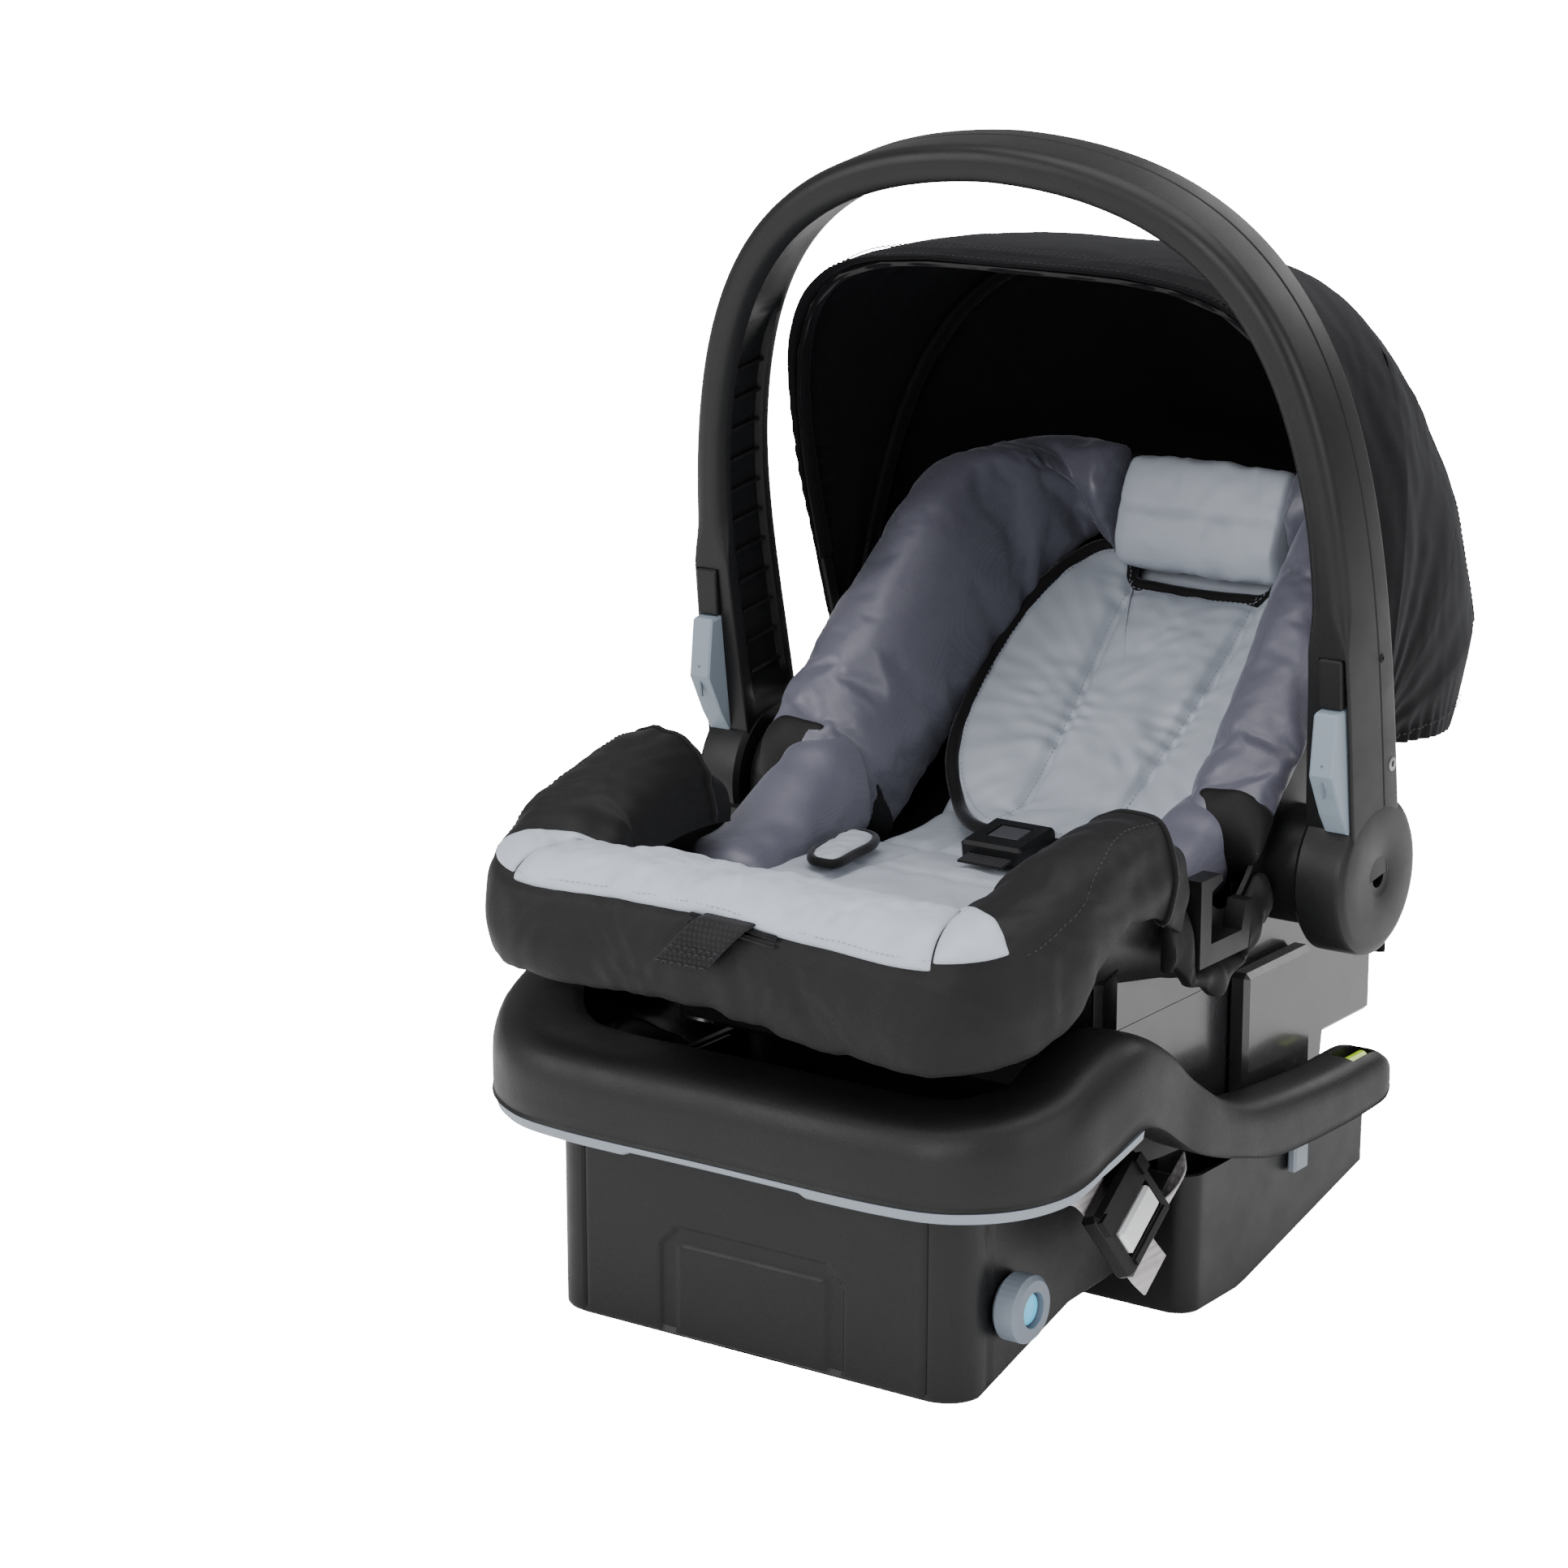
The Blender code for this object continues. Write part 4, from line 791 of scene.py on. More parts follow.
class Handle:
    """The moulded arch: arms with lever pockets, ribbed insides and dished hubs."""

    def __init__(self, size: ArchSize = ArchSize()) -> None:
        """Keep the sizes."""
        self.size = size

    def outside(self, share: float) -> np.ndarray:
        """Outside of the right half in the arch's own plane."""
        half, reach = LAYOUT.handle_outer, self.size.reach
        corners = np.array(((half, 0), (half, 0.49 * reach), (1.104 * half, 0.988 * reach), (0, reach)))
        rest = 1 - share
        return np.array((rest**3, 3 * rest**2 * share, 3 * rest * share**2, share**3)) @ corners

    def inward(self, share: float) -> np.ndarray:
        """Unit normal to the inside of the arch."""
        ahead = self.outside(min(1, share + 0.001)) - self.outside(max(0, share - 0.001))
        return np.array((-ahead[1], ahead[0])) / np.linalg.norm(ahead)

    def on_arm(self, x: float, along: float, back: float) -> np.ndarray:
        """A point by how far along the arm and how far to the rear."""
        s, c = math.sin(self.size.tilt), math.cos(self.size.tilt)
        return np.array((x, LAYOUT.hub_y - along * s + back * c, LAYOUT.hub_z + along * c + back * s))

    def thick_at(self, share: float) -> float:
        """How thick the arch is so far round its half."""
        slim = float(ease(share / self.size.slim_over))
        return self.size.root_thick + (self.size.grip_thick - self.size.root_thick) * slim

    def section(
        self, thick: float, half: float, notch: bool, soft: float, dish: float
    ) -> list[tuple[float, float]]:
        """Rounded section as (from the outside, to the rear) pairs, always as many."""

        def corner(u: float, v: float, radius: float, start: float) -> list[tuple[float, float]]:
            """A quarter turn of the section."""
            turns = np.radians(np.linspace(start, start + 90, 5))
            return [(u + radius * math.cos(t), v + radius * math.sin(t)) for t in turns]

        size = self.size
        rear, line = size.corner, 0.32 * half
        out = corner(rear, half - rear, rear, 90)
        out += [(0, line + 0.0010), (0.0007, line + 0.0004)]
        out += [(0.0007, line - 0.0004), (0, line - 0.0010)]
        out += corner(soft, -half + soft, soft, 180)
        if notch:
            skin, wide, floor = size.skin, size.pocket_width, -half + size.pocket_floor
            out += [(skin, -half), (skin + 0.0001, floor)]
            out += [(skin + wide - 0.0001, floor), (skin + wide, -half)]
        else:
            out += [(float(u), -half) for u in np.linspace(soft, thick - soft, 6)[1:-1]]
        out += corner(thick - soft, -half + soft, soft, 270)
        out += [(thick, -0.66 * half), (thick - dish, -0.58 * half)]
        out += [(thick - dish, 0.58 * half), (thick, 0.66 * half)]
        out += corner(thick - rear, half - rear, rear, 0)
        return out

    def share_at(self, along: float) -> float:
        """The share of the half arch that is so far up the arm."""
        low, high = 0.0, 1.0
        for _ in range(40):
            middle = (low + high) / 2
            low, high = (middle, high) if self.outside(middle)[1] < along else (low, middle)
        return low

    def rings(self, side: int) -> list[np.ndarray]:
        """Every section of one half, hub to crown."""
        size = self.size
        low, high = size.pocket_low, size.pocket_high
        marks = (low - 0.0001, low, high, high + 0.0001)
        shares = sorted([*np.linspace(0, 1, 84), *(self.share_at(mark) for mark in marks)])
        made = []
        for share in shares:
            flat, inward = self.outside(share), self.inward(share)
            along = flat[1]
            depth = size.root_depth + (size.grip_depth - size.root_depth) * float(ease(along / size.reach))
            notch = low <= along + 1e-6 and along <= high + 1e-6
            near = min(abs(along - low), abs(along - high))
            soft = 0.0014 if low < along < high else 0.0014 + 0.0075 * float(ease(near / 0.03))
            dish = 0.0045 * float(ease((along - 0.05) / 0.02) * (1 - ease((along - 0.27) / 0.05)))
            ring = []
            for inside, back in self.section(self.thick_at(share), depth / 2, notch, soft, dish):
                point = flat + inward * inside
                ring.append(self.on_arm(side * point[0], point[1], back))
            made.append(np.array(ring))
        return made

    def mesh(self) -> bpy.types.Mesh:
        """The arch, its hub discs and the ribs inside its arms."""
        size = self.size
        right, left = self.rings(1), self.rings(-1)
        solid = Solid().loft(np.array(right + left[::-1][1:]))
        outer, inner, big = LAYOUT.handle_outer, LAYOUT.handle_inner, size.hub_radius
        profile = (
            (inner, 0.0066), (inner, big - 0.003), (inner + 0.003, big), (outer - 0.005, big),
            (outer - 0.0022, big - 0.0009), (outer - 0.0004, big - 0.0034),
            (outer + 0.0003, big - 0.0065), (outer + 0.0005, 0.0125), (outer - 0.0001, 0.0112),
            (outer - 0.0006, 0.0066),
        )
        rear = Vector((0, math.cos(size.tilt), math.sin(size.tilt)))
        for side, _ in SIDES:
            solid.turned([(side * x, r) for x, r in profile], (LAYOUT.hub_y, LAYOUT.hub_z))
            for i in range(size.ribs):
                along = size.rib_start + size.rib_step * i
                share = self.share_at(along)
                x = self.outside(share)[0] - self.thick_at(share) + 0.0026
                at = Vector(self.on_arm(side * x, along, 0))
                solid.brick(at, (UPRIGHT[0], rear, self.up), (0.0012, 0.0150, 0.0009))
        return solid.mesh("handle_arch_moulding")

    @property
    def up(self) -> Vector:
        """Unit direction from the hub up the arm."""
        return Vector((0, -math.sin(self.size.tilt), math.cos(self.size.tilt)))

    def dress(self) -> None:
        """Show the arch and the parts in its arms."""
        show("handle_arch_moulding", self.mesh(), PALETTE.black, Body.HANDLE, 32, ["handle_arch"])
        for name, along, back, radius, coat in (
            ("arm_screw_heads", 0.0615, 0.0195, 0.0042, PALETTE.steel),
            ("arm_drain_holes", 0.1270, 0.0120, 0.0027, PALETTE.binding),
        ):
            solid = Solid()
            face = self.outside(self.share_at(along))[0]
            low, top, floor = face - 0.001, face + 0.0006, face - 0.0001
            profile = (
                (low, 0.0004), (low, radius), (face + 0.0003, radius), (top, radius * 0.82),
                (top, radius * 0.46), (floor, radius * 0.42), (floor, 0.0004),
            )
            for side, _ in SIDES:
                middle = self.on_arm(0.0, along, back)[1:]
                solid.turned([(side * x, r) for x, r in profile], middle, 30)
            solid.show(name, coat, Body.HANDLE)
        self._arrows()

    def _arrows(self) -> None:
        """A moulded arrow on the front of each release lever."""
        front = -self.size.root_depth / 2 - 0.0155
        shaft, barb = 0.0095, 0.0036
        for side, word in SIDES:
            solid = Solid()
            x = side * (LAYOUT.handle_outer - 0.0095)
            for along, off, turn in ((0.071, 0.0, 0), (0.0785, 0.0022, 1), (0.0785, -0.0022, -1)):
                lean = 0.10 if turn else -0.10
                middle = self.on_arm(x + off, along, front + lean * (along - 0.074))
                way = Vector((turn * -0.62, 0, 0)) + self.up * (0.78 if turn else 1)
                way.normalize()
                across = way.cross(UPRIGHT[1]).normalized()
                halves = (0.0006, 0.0006, barb if turn else shaft)
                solid.brick(Vector(middle), (across, way.cross(across), way), halves)
            made = solid.show(f"lever_arrow_{word}", PALETTE.lever_dark, None)
            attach(made, f"lever_{word}")


# ------------------------------------------------------------------ canopy
@dataclass(frozen=True)
class CanopySize:
    """The folding canopy, as half width, rise and roundness at five angles."""

    front: float = math.radians(20)
    mid: float = math.radians(-15)
    seam: float = math.radians(-55)
    back: float = math.radians(-80)
    hem: float = math.radians(-98)
    thick: float = 0.0022
    hem_band: float = 0.021
    start: float = math.radians(5)
    crown: float = 0.28  # from the pivots to the crown, for turning lengths into angles
    seams: tuple[float, float] = (math.radians(56), math.radians(124))

    @property
    def stops(self) -> np.ndarray:
        """Angle, half width, rise, roundness."""
        half = LAYOUT.handle_inner - 0.0015
        return np.array(
            (
                (self.front, half, 0.297, 4.5),
                (self.mid, half - 0.002, 0.280, 3.3),
                (self.seam, half - 0.009, 0.262, 3.0),
                (self.back, half - 0.010, 0.280, 2.9),
                (self.hem, half - 0.013, 0.236, 2.9),
            )
        )


class Canopy:
    """Three cloth panels over two bows, with a stitched hem, seams and an elastic rear edge."""

    def __init__(self, size: CanopySize = CanopySize()) -> None:
        """Keep the sizes."""
        self.size = size

    def surface(self, angle: np.ndarray, turn: np.ndarray, inset: np.ndarray | float) -> Grid:
        """Points by angle about the side pivots and turn from the right side over to the left."""
        stops = self.size.stops[::-1]
        half, rise, round_ = (np.interp(angle, stops[:, 0], stops[:, k]) for k in (1, 2, 3))
        across, up = np.cos(turn), np.sin(turn)
        grown = (np.abs(across) / (half - inset)) ** round_ + (np.abs(up) / (rise - inset)) ** round_
        reach = grown ** (-1 / round_)
        up = up * reach
        y, z = LAYOUT.canopy_y - up * np.sin(angle), LAYOUT.canopy_z + up * np.cos(angle)
        return np.stack((across * reach, y, z), axis=-1)

    def wrinkles(self, angle: np.ndarray, turn: np.ndarray, share: np.ndarray) -> np.ndarray:
        """How far the cloth lies inside its frame: slack between bows and folds to the pivots."""
        size = self.size
        side = np.clip(np.minimum(turn, math.pi - turn) / math.radians(60), 0, 1)
        slack = 0.0042 * np.sin(math.pi * share) ** 1.2 * (0.35 + 0.65 * side)
        middle = np.sin(math.pi * share)
        fan = 0.0010 * np.sin(angle * 24 + 1.3 * np.sin(turn * 3)) * (1 - side) ** 1.1 * middle
        flat = self.surface(angle, turn, 0.0)
        fine = 0.0008 * ripple(flat, 0.085, 5) + 0.00025 * ripple(flat, 0.030, 6)
        tucks = (0.6 + 0.4 * np.sin(turn * 7)) * (1 + np.sin(turn * 88 + 2.2 * np.sin(turn * 9)))
        gather = 0.0026 * dip(angle - size.hem, 0.16) * tucks
        corner = dip(side - 0.62, 0.16) * dip(angle - size.front + 0.10, 0.12)
        pucker = 0.0011 * corner * (1 + np.sin(turn * 130))
        return 0.0008 + slack + fan + fine * 0.8 + gather + pucker

    def panel(
        self, name: str, front: float, rear: float, rows: int, columns: int = 230
    ) -> bpy.types.Mesh:
        """One panel as a thin closed sheet."""
        size = self.size
        share = np.linspace(0, 1, rows)[:, None] * np.ones(columns)[None]
        turn = np.ones(rows)[:, None] * np.linspace(size.start, math.pi - size.start, columns)[None]
        slit = math.radians(0.05)
        angle = (front - slit) + (rear - front + 2 * slit) * share
        inset = self.wrinkles(angle, turn, share)
        if front == size.front:
            reach = size.crown * (size.front - angle)
            band = 0.0006 * (1 - ease((reach - size.hem_band) / 0.0012))
            thick = (size.thick + band) * (1 - 0.45 * dip(reach, 0.0022))
        else:
            band, thick = 0.0, size.thick
            for seam in size.seams:
                inset = inset - 0.0011 * dip(turn - seam, math.radians(0.85))
        outer = self.surface(angle, turn, inset - band)
        inner = self.surface(angle, turn, inset + thick)
        return Solid().sheet(outer, inner).mesh(name)

    def line(self, angle: float, inset: float) -> np.ndarray:
        """A line across the canopy at one angle."""
        count = 240
        turn = np.radians(np.linspace(6, 174, count))
        angles = np.full(count, angle)
        share = np.full(count, 0.02)
        return self.surface(angles, turn, self.wrinkles(angles, turn, share) + inset)

    def bow_sleeve(self, angle: float, inset: float, wide: float, deep: float) -> Solid:
        """The cloth casing round a bow, under the canopy."""
        count = 200
        turn = np.radians(np.linspace(24, 156, count))
        centre = self.surface(np.full(count, angle), turn, inset)
        across = np.array((0.0, -math.cos(angle), -math.sin(angle)))
        out = np.cross(headings(centre), across)
        turns = full_turn(20)
        uneven = 1 + 0.10 * ripple(centre, 0.03, 9)
        ring = across * (np.cos(turns) * wide / 2)[:, None]
        bulge = out[:, None] * (np.sin(turns) * deep / 2)[None, :, None]
        return Solid().loft(centre[:, None] + ring[None] * uneven[:, None, None] + bulge)

    def dress(self) -> None:
        """Show the three panels, the bow casings, the piping and the stitching."""
        size = self.size
        front, middle, back = (
            show(
                f"canopy_{word}_cloth",
                self.panel(f"canopy_{word}_cloth", first, last, rows),
                PALETTE.canopy,
                body,
                CLOTH_SHARP,
                [f"canopy_{word}_panel"],
            )
            for word, first, last, rows, body in (
                ("front", size.front, size.mid, 60, None),
                ("middle", size.mid, size.seam, 60, None),
                ("back", size.seam, size.hem, 70, Body.CARRIER),
            )
        )
        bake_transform(front)
        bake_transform(middle)
        behind = math.radians(1.9)
        for name, angle, inset, wide, deep, body in (
            ("canopy_mid_casing", size.mid, 0.0070, 0.0125, 0.0060, Body.CANOPY_MID),
            ("canopy_front_casing", size.front - behind, 0.0066, 0.0115, 0.0056, Body.CANOPY_FRONT),
        ):
            sleeve = self.bow_sleeve(angle, inset, wide, deep)
            sleeve.show(name, PALETTE.canopy, body, CLOTH_SHARP)
        piping = Solid().tube(self.line(size.mid - 0.045, 0.0036), 0.0011)
        piping.show("canopy_mid_piping", PALETTE.binding, Body.CANOPY_MID)
        self._stitches()

    def _stitches(self) -> None:
        """Hem, casing, seam and elastic stitches."""
        size = self.size
        edge = size.front - size.hem_band / size.crown
        rows = [
            self.line(edge, -0.0009),
            self.line(edge + 0.010, -0.0009),
            self.line(edge, size.thick + 0.0004),
            self.line(size.front - 0.012, -0.0009),
        ]
        SEWING.rows("canopy_hem_stitches", rows, PALETTE.thread_black, Body.CANOPY_FRONT)
        rows = []
        angles = np.linspace(size.seam - 0.01, size.hem + 0.03, 90)
        share = (angles - size.seam) / (size.hem - size.seam)
        for offset in (-0.011, 0.011):
            for seam in size.seams:
                turn = np.full(len(angles), seam + offset)
                inset = self.wrinkles(angles, turn, share) - 0.0008
                rows.append(self.surface(angles, turn, inset))
        rows.append(self.line(size.hem + 0.10, -0.0004))
        SEWING.rows("canopy_back_stitches", rows, PALETTE.thread_black, Body.CARRIER)


# ------------------------------------------------------------------ the carrier's shell
def facing(grid: Grid) -> Grid:
    """Unit normals of a grid of points, rows crossed with columns."""
    down, along = np.gradient(grid, axis=0), np.gradient(grid, axis=1)
    out = np.cross(down, along)
    return out / (np.linalg.norm(out, axis=-1, keepdims=True) + 1e-12)


@dataclass(frozen=True)
class ShellSize:
    """Rim y and z, keel y and z and how much narrower, from the front to the head."""

    stations: tuple[tuple[float, ...], ...] = (
        (-0.300, 0.250, -0.293, 0.214, 0.033),
        (-0.262, 0.258, -0.250, 0.190, 0.010),
        (-0.200, 0.268, -0.180, 0.170, 0.003),
        (-0.130, 0.262, -0.100, 0.155, 0.0),
        (-0.070, 0.232, -0.030, 0.155, 0.0),
        (-0.020, 0.280, 0.060, 0.165, 0.0),
        (0.035, 0.335, 0.140, 0.205, 0.0),
        (0.085, 0.385, 0.212, 0.262, 0.008),
        (0.135, 0.415, 0.262, 0.318, 0.022),
        (0.200, 0.425, 0.295, 0.365, 0.053),
    )
    roundness: float = 2.4
    wall: float = 0.003


class Shell:
    """The moulded bathtub with its hub and canopy bosses."""

    def __init__(self, size: ShellSize = ShellSize()) -> None:
        """Keep the sizes and the rim's and keel's lines."""
        self.size = size
        self.rows = through(size.stations, 90)

    def rim_at(self, y: float) -> tuple[float, float, float, float]:
        """The right rim's x and z and the keel's y and z where the rim passes y."""
        rows = self.rows
        z, keel_y, keel_z, narrow = (np.interp(y, rows[:, 0], rows[:, k]) for k in (1, 2, 3, 4))
        return LAYOUT.shell_half - narrow, z, keel_y, keel_z

    def mesh(self) -> bpy.types.Mesh:
        """The shell, thickened."""
        turn = np.linspace(0, math.pi, 65)
        power = 2 / self.size.roundness
        across, depth = squarish(np.cos(turn), power), np.abs(np.sin(turn)) ** power
        rim_y, rim_z, keel_y, keel_z, narrow = (self.rows[:, k][:, None] for k in range(5))
        x = (LAYOUT.shell_half - narrow) * across
        y = rim_y + (keel_y - rim_y) * depth + LAYOUT.slide
        grid = np.stack((x, y, rim_z + (keel_z - rim_z) * depth), axis=-1)
        rows, columns = grid.shape[:2]
        starts = [i * columns + j for i in range(rows - 1) for j in range(columns - 1)]
        faces = [(p, p + 1, p + columns + 1, p + columns) for p in starts]
        faces.append(tuple(reversed(range(columns))))
        faces.append(tuple((rows - 1) * columns + j for j in range(columns)))
        skin = bpy.data.meshes.new("carrier_shell_skin")
        skin.from_pydata(grid.reshape(-1, 3).tolist(), [], faces)
        holder = placed("shell_skin", skin)
        wall = holder.modifiers.new("wall", "SOLIDIFY")
        wall.thickness = self.size.wall
        wall.offset = -1
        return settled(holder)

    def bosses(self) -> Solid:
        """The round bosses that carry the handle's and the canopy's pins."""
        solid = Solid()
        inner = LAYOUT.shell_half - 0.012
        for side, _ in SIDES:
            for place, radius, hole, out in (
                ((LAYOUT.hub_y, LAYOUT.hub_z), 0.034, 0.0064, LAYOUT.handle_inner - 0.0008),
                ((LAYOUT.canopy_y, LAYOUT.canopy_z), 0.0105, 0.0045, 0.1783),
            ):
                profile = (
                    (inner, hole), (inner, radius), (out - 0.001, radius), (out, radius - 0.001), (out, hole),
                )
                solid.turned([(side * x, r) for x, r in profile], place, 48)
        return solid

    def dress(self) -> None:
        """Show the shell and its bosses."""
        show("carrier_shell_moulding", self.mesh(), PALETTE.black, Body.CARRIER, 35, ["carrier_shell"])
        self.bosses().show("carrier_bosses", PALETTE.black, Body.CARRIER)


SHELL = Shell()


# ------------------------------------------------------------------ the cover's front roll
@dataclass(frozen=True)
class RollSize:
    """The padded front edge: y, depth, bottom and top of each place on a horn."""

    horn: tuple[tuple[float, ...], ...] = (
        (-0.145, 0.017, 0.236, 0.303),
        (-0.170, 0.019, 0.250, 0.305),
        (-0.200, 0.021, 0.254, 0.303),
        (-0.235, 0.024, 0.240, 0.296),
        (-0.262, 0.028, 0.216, 0.286),
    )
    front_y: float = -0.300
    front_half: float = 0.1348
    front: tuple[float, float, float] = (0.034, 0.205, 0.272)
    rim_front: float = 0.250


BAND_LOW = 0.445  # where the band starts across the roll


class FrontCover:
    """Black horns and skirt, with a light padded band over the front edge."""

    COLUMNS = 64
    INSIDE = ((-0.0105, -0.0125), (-0.0105, 0.0025), (0.0020, 0.0025))  # clear of the rim

    def __init__(self, size: RollSize = RollSize()) -> None:
        """Work out the roll's path, surface and outward directions."""
        self.size = size
        self.path = self._path()
        self.grid = self._surface()
        normal = facing(self.grid)
        middle = self.grid.mean(axis=1, keepdims=True)
        self.normal = normal * np.sign(((self.grid - middle) * normal).sum(axis=-1).mean())

    def _path(self) -> np.ndarray:
        """x, y, rim z, depth, bottom and top all the way round, right to left."""
        size = self.size
        rows = []
        for y, depth, bottom, top in size.horn:
            x, z, _, _ = SHELL.rim_at(y)
            rows.append((x, y, z, depth, bottom, top))
        for x in (size.front_half, size.front_half / 2, 0.0):
            rows.append((x, size.front_y, size.rim_front, *size.front))
        rows += [(-x, *rest) for x, *rest in reversed(rows[:-1])]
        return through(rows, 260)

    def _surface(self) -> Grid:
        """The outer skin from the skirt's hem over the top and down inside."""
        path = self.path
        share = np.linspace(0, 1, len(path))
        full = 0.35 + 0.65 * ease(np.minimum(share, 1 - share) / 0.035)
        rings = []
        for (x, y, rim_z, depth, bottom, top), way, puff in zip(path, outward(path), full):
            bottom = bottom - 0.009 * float(ease((x + 0.02) / 0.09)) * float(ease((-0.20 - y) / 0.05))
            top = rim_z + 0.012 + (top - rim_z - 0.012) * puff
            tall = top - bottom
            section = through(
                (
                    (0.0028, bottom + 0.003), (0.74 * depth, bottom), (0.98 * depth, bottom + tall * 0.30),
                    (depth * 0.97, bottom + tall * 0.62), (0.80 * depth, bottom + tall * 0.86),
                    (0.35 * depth, top), (-0.010, top + 0.001), (-0.026, top - 0.003),
                    (-0.040, rim_z + (top - rim_z) * 0.55), (-0.045, rim_z), (-0.045, rim_z - 0.012),
                ),
                self.COLUMNS,
            )
            rings.append([(x + way[0] * o, y + way[1] * o, z) for o, z in section])
        grid = np.array(rings)
        normal = facing(grid)
        if normal[len(path) // 2, 8, 1] > 0:
            normal = -normal
        across = np.linspace(0, 1, self.COLUMNS)[None, :]
        x = grid[..., 0]
        skirt = ease((0.34 - across) / 0.26)
        folds = np.sin(x * 118 + 1.7 * np.sin(x * 31)) * (0.5 + 0.5 * np.sin(x * 47 + 1))
        drape = 0.0017 * skirt * folds - 0.0012 * skirt
        soft = 0.0013 * ripple(grid, 0.060, 21) + 0.0007 * ripple(grid, 0.026, 22)
        seam = -0.0013 * dip(across - BAND_LOW, 0.014) * ease((0.158 - np.abs(x)) / 0.01)
        hide = ease((1 - across) / 0.15)
        return grid + normal * (drape + soft * hide - 0.0006 + seam)[..., None]

    def skin(self) -> bpy.types.Mesh:
        """The black cover, closed inside so that it clears the shell."""
        inner = [
            [(x + way[0] * o, y + way[1] * o, rim_z + z) for o, z in self.INSIDE]
            for (x, y, rim_z, *_), way in zip(self.path, outward(self.path))
        ]
        return Solid().loft(np.concatenate((self.grid, np.array(inner)), axis=1)).mesh("front_cover_skin")

    def patch(
        self, name: str, rows: slice, low: float, high: float, rise: float, seam: float
    ) -> bpy.types.Mesh:
        """A padded piece of cloth over part of the roll.

        Args:
            name: The piece's name.
            rows: Which part of the way round.
            low: Where it starts across the roll, 0 at the hem.
            high: Where it ends.
            rise: How far it is padded up.
            seam: How deep the puckers of its lower seam are.
        """
        columns = 46
        at = np.linspace(low, high, columns) * (self.COLUMNS - 1)
        base, way = (
            np.stack([self._between(grid[rows], a) for a in at], axis=1) for grid in (self.grid, self.normal)
        )
        count = len(base)
        along = np.linspace(0, 1, count)[:, None]
        over = np.linspace(0, 1, columns)[None, :]
        edge = np.minimum(np.minimum(over, 1 - over) * 7, np.minimum(along, 1 - along) * count * 0.16)
        swell = np.sqrt(np.clip(1 - (1 - np.clip(edge, 0, 1)) ** 2, 0, 1))
        x = base[..., 0]
        pucker = seam * np.exp(-over / 0.085) * np.sin(x * 560 + 3 * np.sin(x * 91)) * swell
        soft = 0.0011 * ripple(base, 0.048, 31) + 0.0005 * ripple(base, 0.018, 32)
        height = 0.0004 + rise * swell + (pucker + soft * swell)
        return finer(Solid().sheet(base + way * height[..., None], base - way * 0.0022).mesh(name))

    @staticmethod
    def _between(grid: Grid, at: float) -> np.ndarray:
        """A column of the grid, between two whole ones."""
        low = min(int(at), grid.shape[1] - 2)
        return grid[:, low] + (grid[:, low + 1] - grid[:, low]) * (at - low)

    def line(self, rows: slice, across: float, lift: float) -> np.ndarray:
        """A line along the roll, a little off its surface."""
        at = across * (self.COLUMNS - 1)
        return self._between(self.grid[rows], at) + self._between(self.normal[rows], at) * lift

    def ring(self, row: int, low: float, high: float, lift: float) -> np.ndarray:
        """A line over the roll, from the hem side to the inside."""
        last = self.COLUMNS - 1
        part = slice(int(low * last), int(high * last) + 1)
        return self.grid[row, part] + self.normal[row, part] * lift

    def row_at(self, x: float) -> int:
        """The ring on the front whose centre is nearest x."""
        front = np.abs(self.path[:, 1] - self.size.front_y) < 0.012
        gap = np.where(front, np.abs(self.path[:, 0] - x), 9)
        return int(np.argmin(gap))

    def dress(self) -> None:
        """Show the cover, its band and corner pieces, the slot, the strap and the stitching."""
        cushion("front_cover_skin", self.skin(), PALETTE.cover, ["cover_front_roll"])
        end = self.size.front_half - 0.004
        first, last = self.row_at(end), self.row_at(-end)
        wide = 9  # rings under a corner piece
        for name, rows, low, high, rise, seam in (
            ("band", slice(first, last + 1), BAND_LOW, 0.94, 0.0042, 0.0006),
            ("corner_right", slice(first - wide, first + 1), BAND_LOW + 0.02, 0.84, 0.0036, 0.0004),
            ("corner_left", slice(last, last + wide + 1), BAND_LOW + 0.02, 0.84, 0.0036, 0.0004),
        ):
            mesh = self.patch(f"front_{name}", rows, low, high, rise, seam)
            cushion(f"front_{name}", mesh, PALETTE.light)
        sewn = (slice(6, first - wide - 2), slice(last + wide + 2, 254))
        black = [self.line(rows, BAND_LOW, 0.0001) for rows in sewn]
        SEWING.rows("cover_stitches", black, PALETTE.thread_black, Body.CARRIER)
        grey = [self.line(slice(first, last), BAND_LOW + 0.028, 0.0034)]
        SEWING.rows("band_stitches", grey, PALETTE.thread_grey, Body.CARRIER, 0.0036, 0.0024, 0.0003)
        piping = Solid()
        for row in (8, 251):
            piping.tube(self.ring(row, 0.02, 0.99, 0.0008), 0.0017)
        piping.show("horn_piping", PALETTE.binding, Body.CARRIER)
        self._slot()

